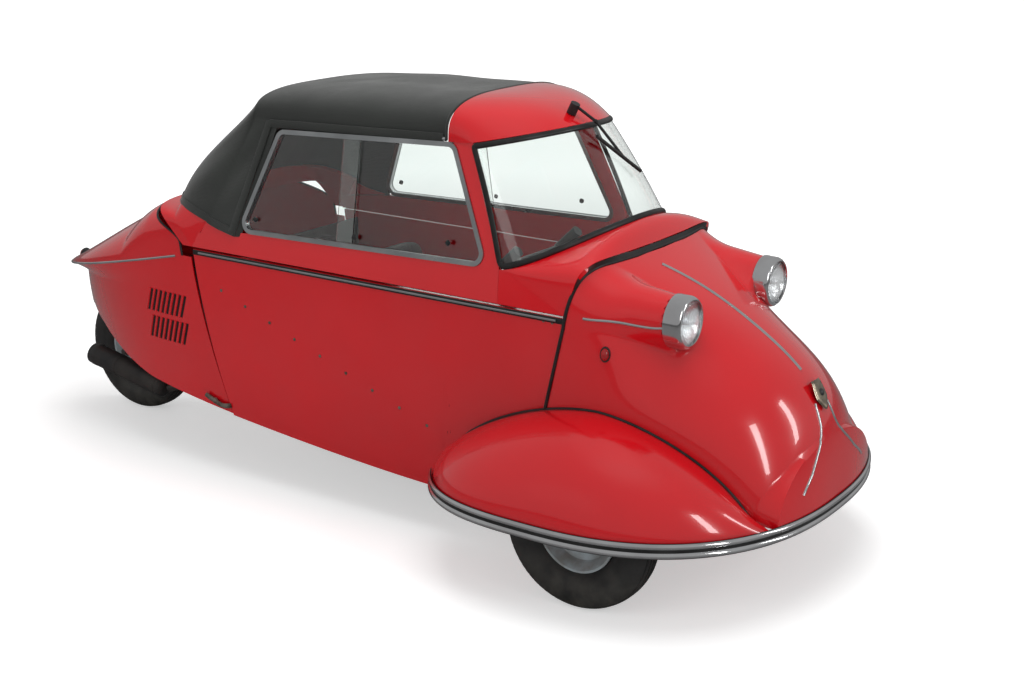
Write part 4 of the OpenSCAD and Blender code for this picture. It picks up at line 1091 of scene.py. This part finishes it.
class CAR_OT_hood(bpy.types.Operator):
    """Build the fabric roof as one stretched sheet, with its front roll, hem and snap buttons"""
    bl_idname = "car.hood"
    bl_label = "Fabric roof"

    def execute(self, context):
        u, v = uv_grid(170, 200)
        p = hood(u, v)
        n = normals(p)
        if np.mean(n[40:60, 90:110, 2]) < 0:
            n = -n
        q = fold(v)[0]
        t, k = lim(u / 0.55), lim((u - 0.55) / 0.45)
        sag = 1000 * context.scene.car_sizes.hood_sag
        low = sag * np.sin(np.pi * t) ** 2 * (1 - q ** 4) * (0.5 - 0.5 * np.cos(4 * np.pi * t))
        pulls = 1.6 * np.sin(26 * (q + 0.35 * k)) * np.sin(np.pi * k) * lim((q - 0.3) * 2) * lim((1 - q) * 8)
        creases = (np.sin(31 * u + 5 * q) * lim((q - 0.55) * 4) * lim((1 - q) * 9)
                   * np.sin(np.pi * lim(u * 1.02)))
        p = p - (low + pulls + creases + 1.0)[..., None] * n
        cloth = walled(p, 1.6, centre=(0, 0, 800))
        ob = put("fabric_roof", *cloth, "canopy", "hood_cloth", "hood_fabric", 50)
        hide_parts("soft_top")
        m = np.linspace(0.006, 0.994, 200)
        at = hood(np.full(200, 0.004), m)
        parts = [sweep(at + [1.5, 0, -2.0], ring(4.2, 10), (1.0, 0, 0))]
        e = np.linspace(0.01, 0.995, 150)
        flat = [(-11, -1.2), (11, -1.2), (11, 0.9), (10, 1.4), (-10, 1.4), (-11, 0.9)]
        for vv in (0.011, 0.989):
            line = hood(e, np.full(150, vv))
            parts.append(sweep(line + [0, 0, 3], flat, line * [0, 1, 0]))
        line = hood(np.full(200, 0.985), m)
        parts.append(sweep(line, flat, normals(hood(*uv_grid(170, 199)))[-3]))
        t = np.linspace(0.42, 1, 60)
        for vv, s1 in ((0.0, -1), (1.0, 1)):
            a = hood(t, np.full(60, vv)) - [0, 3.4 * s1, 0]
            z = np.minimum(a[:, 2], BELT_Z + 376)
            frame_x = lerp(-325, -224, (z - BELT_Z - 68) / 302) + 7
            b = vec(np.maximum(frame_x, a[:, 0] + 2), s1 * (side_y(z) - 1.5), z)
            parts.append(walled(band(a, b, 6), 1.6, centre=(-300, 0, 900)))
        put("roof_hems", *join(parts), "canopy", "hood_cloth", "hood_fabric")
        x, z = HEADER_X - 14, ROOF_EDGE_Z + 6
        button = [(4.2, 0), (3.8, 3.5), (2, 5.4), (-1, 5.8), (-1, 0)]
        snaps = [turned(button, (x, s * (side_y(z) + 1.0), z), (0, s, 0.1), 22) for s in (-1, 1)]
        put("roof_snaps", *join(snaps), "canopy", "bright_trim", "polished_metal")
        return {"FINISHED"}


def pad(centre, half, tilt, channels=0, n=90):
    """A crowned cushion: a superellipsoid of power 0.32, its middle raised by a cosine, its sides drawn in a
    little between the corners, with sewn channels across; tilted about the car's width."""
    a = np.linspace(-np.pi / 2, np.pi / 2, n)[1:-1, None]
    b = np.linspace(-np.pi, np.pi, 2 * n, endpoint=False)[None]

    def sp(f, e=0.32):
        return np.sign(f) * np.abs(f) ** e

    x = half[0] * sp(np.cos(a)) * sp(np.cos(b))
    y = half[1] * sp(np.cos(a)) * sp(np.sin(b))
    z = half[2] * sp(np.sin(a)) * np.ones_like(b)
    xn, yn = x / half[0], y / half[1]
    x, y = x * (1 - 0.03 * (1 - yn ** 2)), y * (1 - 0.03 * (1 - xn ** 2))
    crown = 0.22 * half[2] * (np.cos(np.pi / 2 * xn) * np.cos(np.pi / 2 * yn) - 0.9)
    z = z * 0.82 + np.where(z > 0, crown, 0) * np.abs(z) / half[2]
    if channels:
        seam = np.exp(-(np.sin(np.pi * channels * (yn + 1) / 2) / 0.16) ** 2)
        z = z - np.where(z > 0, 1, 0) * 4.5 * seam * (1 - np.abs(xn) ** 6)
    c, s = np.cos(tilt), np.sin(tilt)
    p = vec(x * c + z * s, y, -x * s + z * c) + np.asarray(centre, float)
    k, m = p.shape[:2]
    poles = np.array([[0, 0, -0.82 * half[2]], [0, 0, 0.82 * half[2] + 0.022 * half[2]]])
    poles = vec(poles[:, 0] * c + poles[:, 2] * s, poles[:, 1], poles[:, 2] * c) + np.asarray(centre, float)
    j = np.arange(m)
    j2 = (j + 1) % m
    f = [tuple(r) for r in grid_faces(k, m, 0, wrap_v=True, flip=True)]
    f += [(k * m, int(c2), int(c1)) for c1, c2 in zip(j, j2)]
    f += [(k * m + 1, int((k - 1) * m + c1), int((k - 1) * m + c2)) for c1, c2 in zip(j, j2)]
    return np.concatenate([p.reshape(-1, 3), poles]), f


class CAR_OT_seats(bpy.types.Operator):
    """Build the two seats, one behind the other: sewn cushions and backs on their bases"""
    bl_idname = "car.seats"
    bl_label = "Seats"

    def execute(self, context):
        lo, hi = corners("seat_front")
        half_y = (hi[1] - lo[1]) / 2
        x1 = hi[0]
        cushions = {
            "front_cushion": pad((x1 - 158, 0, 350), (158, half_y - 2, 46), 0, 6),
            "front_backrest": pad((x1 - 386, 0, 518), (172, half_y - 2, 34), np.radians(80), 6),
        }
        lo2, hi2 = corners("seat_rear")
        cushions["rear_cushion"] = pad((hi2[0] - 76, 0, 332), (74, half_y - 2, 44), 0, 6)
        cushions["rear_backrest"] = pad((lo2[0] + 38, 0, 482), (186, half_y - 2, 36), np.radians(90), 6)
        for name, part in cushions.items():
            ob = put(name, *part, "tub", "grained_vinyl", "black_vinyl", 60)
        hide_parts("seat_front")
        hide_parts("seat_rear")
        plates = [(150.0, y, 167, 312, oblong(11, 80)) for y in (-160, 160)]
        plates.append((lo2[0] + 130, 0, 222, 296, oblong(178, 28)))
        parts = [sweep(vec(np.full(4, x), y, np.linspace(z0, z1, 4)), sec, (1.0, 0, 0))
                 for x, y, z0, z1, sec in plates]
        put("seat_bases", *join(parts), "tub", "black_enamel", "black_paint")
        return {"FINISHED"}


class CAR_OT_wheels(bpy.types.Operator):
    """Build the tyres with their tread grooves and ribbed shoulders, and the domed wheel bolts"""
    bl_idname = "car.wheels"
    bl_label = "Wheels"

    def execute(self, context):
        # half the section: distance from the middle and depth below the tread
        half = [(0, 4.5), (3, 4.5), (4, 0.6), (12, 0.8), (13, 5), (16, 5.2), (17, 1.4), (26, 3.4), (27, 7),
                (30, 8), (31, 5.6), (37, 9.6), (42, 17), (45.5, 27), (47.3, 40), (47.3, 50), (45.6, 62),
                (44.8, 63.5), (42, 75), (36, 88), (30, 94), (27, 97.5), (20, 97.5), (0, 97.5)]
        half = [(a, TYRE_R - b) for a, b in half]
        loop = half + [(-a, b) for a, b in half[::-1][1:-1]]

        def wave(a, lp):
            w = np.exp(-((np.abs(lp[:, :1]) - 41.5) / 3.4) ** 2) * (lp[:, 1:] > TYRE_R - 60)
            return -2.2 * w * (np.sin(72 * a) > 0.1)

        places = {"wheel_right": ("front_tyre_right", (FRONT_X, -HALF_TRACK, AXLE_Z), -1),
                  "wheel_left": ("front_tyre_left", (FRONT_X, HALF_TRACK, AXLE_Z), 1),
                  "wheel_rear": ("rear_tyre", (REAR_X, 0, AXLE_Z), -1)}
        bolt = [(9, 0), (8.6, 3), (7.6, 6.4), (0, 6.8), (0, 8.5), (-1, 8.6), (-1, 0)]
        for body, (node, c, s) in places.items():
            tyre = turned_loop(loop, c, (0, 1, 0), 432, wave)
            ob = put(node.replace("_tyre", "_tyre_tread"), *tyre, body, "tyre_rubber", "tyre_rubber", 40)
            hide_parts(node)
            bolts = []
            for i in range(5):
                a = 2 * np.pi * i / 5 + 0.3
                o = np.array(c) + [46 * np.cos(a), s * 7.0, 46 * np.sin(a)]
                bolts.append(turned(bolt, o, (0, s, 0), 6))
            put(body + "_bolts", *join(bolts), body, "bright_trim", "wheel_paint")
        return {"FINISHED"}


class CAR_OT_belt_trim(bpy.types.Operator):
    """Build the rubber belt strips with their alloy inserts"""
    bl_idname = "car.belt_trim"
    bl_label = "Belt strips"

    def execute(self, context):
        lo, hi = corners("belt_strips")
        z = (lo[2] + hi[2]) / 2
        x = np.linspace(lo[0] + 1, hi[0] - 1, 60)
        rubber = [(-7.4, 0), (7.4, 0), (7.4, 2.4), (5.6, 4.0), (3.4, 4.2), (3.2, 3.2), (-3.2, 3.2),
                  (-3.4, 4.2), (-5.6, 4.0), (-7.4, 2.4)]
        alloy = [(-3.2, 3.0), (3.2, 3.0), (2.8, 4.6), (1.5, 5.5), (-1.5, 5.5), (-2.8, 4.6)]
        lines = [(s, vec(x, s * (HALF_B + 0.4), z)) for s in (-1, 1)]
        base = [sweep(line, rubber, (0, s, 0)) for s, line in lines]
        insert = [sweep(line[1:-1], alloy, (0, s, 0)) for s, line in lines]
        ob = put("belt_rubbers", *join(base), "tub", "seal_rubber", "black_rubber")
        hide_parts("belt_strips")
        put("belt_inserts", *join(insert), "tub", "satin_alloy", "black_rubber")
        return {"FINISHED"}


class CAR_OT_exhaust(bpy.types.Operator):
    """Build the silencer with its domed ends, clamp rings, tail pipe and down pipe"""
    bl_idname = "car.exhaust"
    bl_label = "Exhaust"

    def execute(self, context):
        a, b = np.array([-808.0, -200, 172]), np.array([-1136.0, -200, 232])
        d = (b - a) / np.linalg.norm(b - a)
        end = np.linalg.norm(b - a)
        mid = end * 0.62
        can = [(0, 0), (0.5, 14), (4, 26), (12, 33.5), (22, 35), (30, 35), (31, 35.9), (39, 35.9), (40, 35),
               (mid, 35), (mid + 1, 35.9), (mid + 9, 35.9), (mid + 10, 35), (end - 34, 35), (end - 28, 35.9),
               (end - 14, 35.9), (end - 12, 34.5), (end, 34.5), (end, 30), (end - 14, 29), (end - 20, 0)]
        parts = [turned(can, a, d, 56)]
        tip = [(0, 12), (16, 12), (22, 20), (30, 21.5), (30, 18.5), (22, 17), (14, 9), (0, 9)]
        parts.append(turned_loop(tip, b - d * 24, d, 36))
        pipe = smooth_line([a + [150, 40, 60], a + [70, 18, 22], a + [6, 2, 2]], 16)
        parts.append(sweep(pipe, ring(13.5, 20), (0, 0, 1.0)))
        top = corners("exhaust")[1][2] - 1
        down = vec(np.full(4, -700.0), -178, np.linspace(206, top, 4))
        parts.append(sweep(down, oblong(9, 9), (1.0, 0, 0)))
        ob = put("exhaust_silencer", *join(parts), "tub", "stove_black", "sooty_steel", 40)
        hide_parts("exhaust")
        return {"FINISHED"}


class CAR_OT_hardware(bpy.types.Operator):
    """Build the small hardware: the brace's rivets, the tail cover's latches and the panel screws"""
    bl_idname = "car.hardware"
    bl_label = "Small hardware"

    def execute(self, context):
        n = context.scene.car_sizes.rivets
        line = smooth_line([(-400, 0, 590), (-70, 0, 470), (430, 0, 290)], n + 2)
        rivet = [(2.2, 0), (1.8, 2.8), (0.7, 4.6), (-0.6, 4.9), (-0.6, 0)]
        screw = [(1.4, 0), (1.2, 3.4), (0, 4.4), (-0.6, 4.4), (-0.6, 0)]
        rivets = []
        for s in (-1, 1):
            for x, _, z in line[:-1]:
                rivets.append(turned(rivet, (x, s * float(tub_y(z)), z), (0, s, 0), 14))
            for x, z in ((716, 684), (742, 683)):
                rivets.append(turned(screw, (x, s * HALF_B, z), (0, s, 0), 14))
        put("brace_rivets", *join(rivets), "tub", "worn_steel", "red_paint")
        parts = []
        for s in (-1, 1):
            z = 236.0
            y = s * (float(tub_y(z)) + 0.5)
            path = smooth_line([(-500, y, z + 12), (-468, y, z), (-432, y, z - 10), (-398, y, z - 4)], 20)
            parts.append(sweep(path, [(-7, -1), (7, -1), (7, 2.5), (3, 5), (-3, 5), (-7, 2.5)], (0, s, 0)))
            parts.append(turned([(9, 0), (8, 5), (5, 8), (-1, 8.5), (-1, 0)], (-462, y, z), (0, s, 0), 20))
        put("tail_latches", *join(parts), "tub", "worn_steel", "black_paint")
        return {"FINISHED"}


class CAR_OT_repaint(bpy.types.Operator):
    """Give every frame node that still shows its own procedural finish"""
    bl_idname = "car.repaint"
    bl_label = "Carried-over parts"

    def execute(self, context):
        slots = {s["node"]: s["material_slot"] for s in frame["record"]["subparts"]}
        for node, ob in frame["nodes"].items():
            m = material(SLOT_FINISH[slots[node]])
            if not ob.material_slots:
                ob.data.materials.append(m)
            for ms in ob.material_slots:
                ms.material = m
        return {"FINISHED"}


def direct_rays(nt):
    """A socket that is 1 for rays from the camera, straight or through glass, and 0 for all others."""
    rays = nt.nodes.new("ShaderNodeLightPath")
    either = nt.nodes.new("ShaderNodeMath")
    either.operation = "MAXIMUM"
    nt.links.new(rays.outputs["Is Camera Ray"], either.inputs[0])
    nt.links.new(rays.outputs["Is Transmission Ray"], either.inputs[1])
    return either.outputs[0]


def ramp(nt, value, **ends):
    """A socket that maps a value between the ends given as From_Min, From_Max, To_Min and To_Max."""
    node = nt.nodes.new("ShaderNodeMapRange")
    for key, x in ends.items():
        node.inputs[key.replace("_", " ")].default_value = x
    nt.links.new(value, node.inputs["Value"])
    return node.outputs[0]


def placed(ob, right, up, back, at):
    """Links an object into the scene with the given axes and place."""
    bpy.context.scene.collection.objects.link(ob)
    ob.matrix_world = Matrix([[right[k], up[k], back[k], at[k]] for k in range(3)] + [[0, 0, 0, 1]])


class CAR_OT_stage(bpy.types.Operator):
    """Set the pale floor, the soft lamps, the world and the camera"""
    bl_idname = "car.stage"
    bl_label = "Studio"

    def execute(self, context):
        sc = context.scene
        r = np.concatenate([[0.0], np.geomspace(1.5, 70, 12)])[:, None]
        a = np.linspace(0, 2 * np.pi, 64, endpoint=False)[None]
        p = vec(r * np.cos(a), r * np.sin(a), 0)[1:].reshape(-1, 3)
        f = [tuple(x) for x in grid_faces(12, 64, 0, wrap_v=True)] + [tuple(range(64))]
        me = bpy.data.meshes.new("studio_floor")
        me.from_pydata(p.tolist(), [], f)
        me.update()
        floor = bpy.data.objects.new("studio_floor", me)
        sc.collection.objects.link(floor)
        m = bpy.data.materials.new("studio_floor")
        m.use_nodes = True
        nt = m.node_tree
        b = nt.nodes["Principled BSDF"]
        glossy = nt.nodes.new("ShaderNodeLightPath").outputs["Is Glossy Ray"]
        nt.links.new(ramp(nt, glossy, To_Min=0.86, To_Max=0.22), b.inputs["Base Color"])
        b.inputs["Roughness"].default_value = 0.75
        b.inputs["Specular IOR Level"].default_value = 0.2
        # it glows a little to the camera, more with the distance, so that it fades into the white world
        far = nt.nodes.new("ShaderNodeVectorMath")
        far.operation = "LENGTH"
        nt.links.new(nt.nodes.new("ShaderNodeTexCoord").outputs["Object"], far.inputs[0])
        fade = ramp(nt, far.outputs["Value"], From_Min=1.6, From_Max=5.0, To_Min=0.45, To_Max=1.0)
        part = nt.nodes.new("ShaderNodeMath")
        part.operation = "MULTIPLY"
        nt.links.new(direct_rays(nt), part.inputs[0])
        nt.links.new(fade, part.inputs[1])
        b.inputs["Emission Color"].default_value = (1, 1, 1, 1)
        nt.links.new(part.outputs[0], b.inputs["Emission Strength"])
        me.materials.append(m)

        w = bpy.data.worlds.new("studio")
        sc.world = w
        w.use_nodes = True
        nt = w.node_tree
        bg = nt.nodes["Background"]
        nt.links.new(ramp(nt, direct_rays(nt), To_Min=0.38, To_Max=1.0), bg.inputs["Strength"])
        bg.inputs["Color"].default_value = (1, 1, 1, 1)

        def lamp(name, at, to, size_x, size_y, power, mirrored=True):
            li = bpy.data.lights.new(name, "AREA")
            li.shape, li.size, li.size_y, li.energy = "RECTANGLE", size_x, size_y, power
            ob = bpy.data.objects.new(name, li)
            ob.visible_glossy = mirrored
            back = np.array(at, float) - np.array(to, float)
            back /= np.linalg.norm(back)
            right = np.cross([0, 0, 1.0], back)
            right = right / np.linalg.norm(right) if np.linalg.norm(right) > 1e-6 else np.array([1.0, 0, 0])
            placed(ob, right, np.cross(back, right), back, at)

        lamp("overhead_softbox", (0.3, 0.2, 4.2), (0.1, 0, 0), 5.0, 2.6, 120, False)
        lamp("front_softbox", (5.2, -1.2, 2.4), (0.8, -0.2, 0.5), 0.55, 2.2, 34)
        lamp("front_strip", (4.6, 1.6, 2.2), (1.0, 0, 0.5), 0.35, 2.0, 18)
        lamp("side_fill", (-1.0, -5.5, 2.8), (0.0, 0, 0.6), 3.5, 2.0, 60, False)

        cam = bpy.data.cameras.new("camera")
        cam.lens, cam.sensor_width, cam.clip_end = CAMERA_LENS, SENSOR, 300.0
        ob = bpy.data.objects.new("camera", cam)
        yaw, pitch, roll = np.radians(CAMERA_ANGLES)
        back = np.array([np.cos(yaw) * np.cos(pitch), -np.sin(yaw) * np.cos(pitch), np.sin(pitch)])
        right = np.cross(-back, [0, 0, 1.0])
        right /= np.linalg.norm(right)
        up = np.cross(back, right)
        c, s = np.cos(roll), np.sin(roll)
        placed(ob, c * right + s * up, c * up - s * right, back, CAMERA_AT)
        sc.camera = ob
        sc.view_settings.view_transform = "Standard"
        return {"FINISHED"}


class CAR_PT_panel(bpy.types.Panel):
    """The car's build steps and settings"""
    bl_idname = "CAR_PT_panel"
    bl_label = "Bubble car"
    bl_space_type = "VIEW_3D"
    bl_region_type = "UI"
    bl_category = "Bubble car"

    def draw(self, context):
        for group in (context.scene.car_finishes, context.scene.car_sizes):
            for key in group.bl_rna.properties.keys():
                if key not in ("rna_type", "name"):
                    self.layout.prop(group, key)
        for op in STEPS:
            self.layout.operator(op.bl_idname)


STEPS = (CAR_OT_panels, CAR_OT_wings, CAR_OT_tail, CAR_OT_bumper, CAR_OT_nose_trim, CAR_OT_seams,
         CAR_OT_headlamps, CAR_OT_markers, CAR_OT_glazing, CAR_OT_hood, CAR_OT_seats, CAR_OT_wheels,
         CAR_OT_belt_trim, CAR_OT_exhaust, CAR_OT_hardware, CAR_OT_repaint, CAR_OT_stage)


def register():
    for c in (CarFinishes, CarSizes, *STEPS, CAR_PT_panel):
        bpy.utils.register_class(c)
    bpy.types.Scene.car_finishes = bpy.props.PointerProperty(type=CarFinishes)
    bpy.types.Scene.car_sizes = bpy.props.PointerProperty(type=CarSizes)


def unregister():
    del bpy.types.Scene.car_sizes
    del bpy.types.Scene.car_finishes
    for c in reversed((CarFinishes, CarSizes, *STEPS, CAR_PT_panel)):
        bpy.utils.unregister_class(c)


def main():
    register()
    for op in STEPS:
        group, name = op.bl_idname.split(".")
        getattr(getattr(bpy.ops, group), name)()


if __name__ == "__main__":
    main()
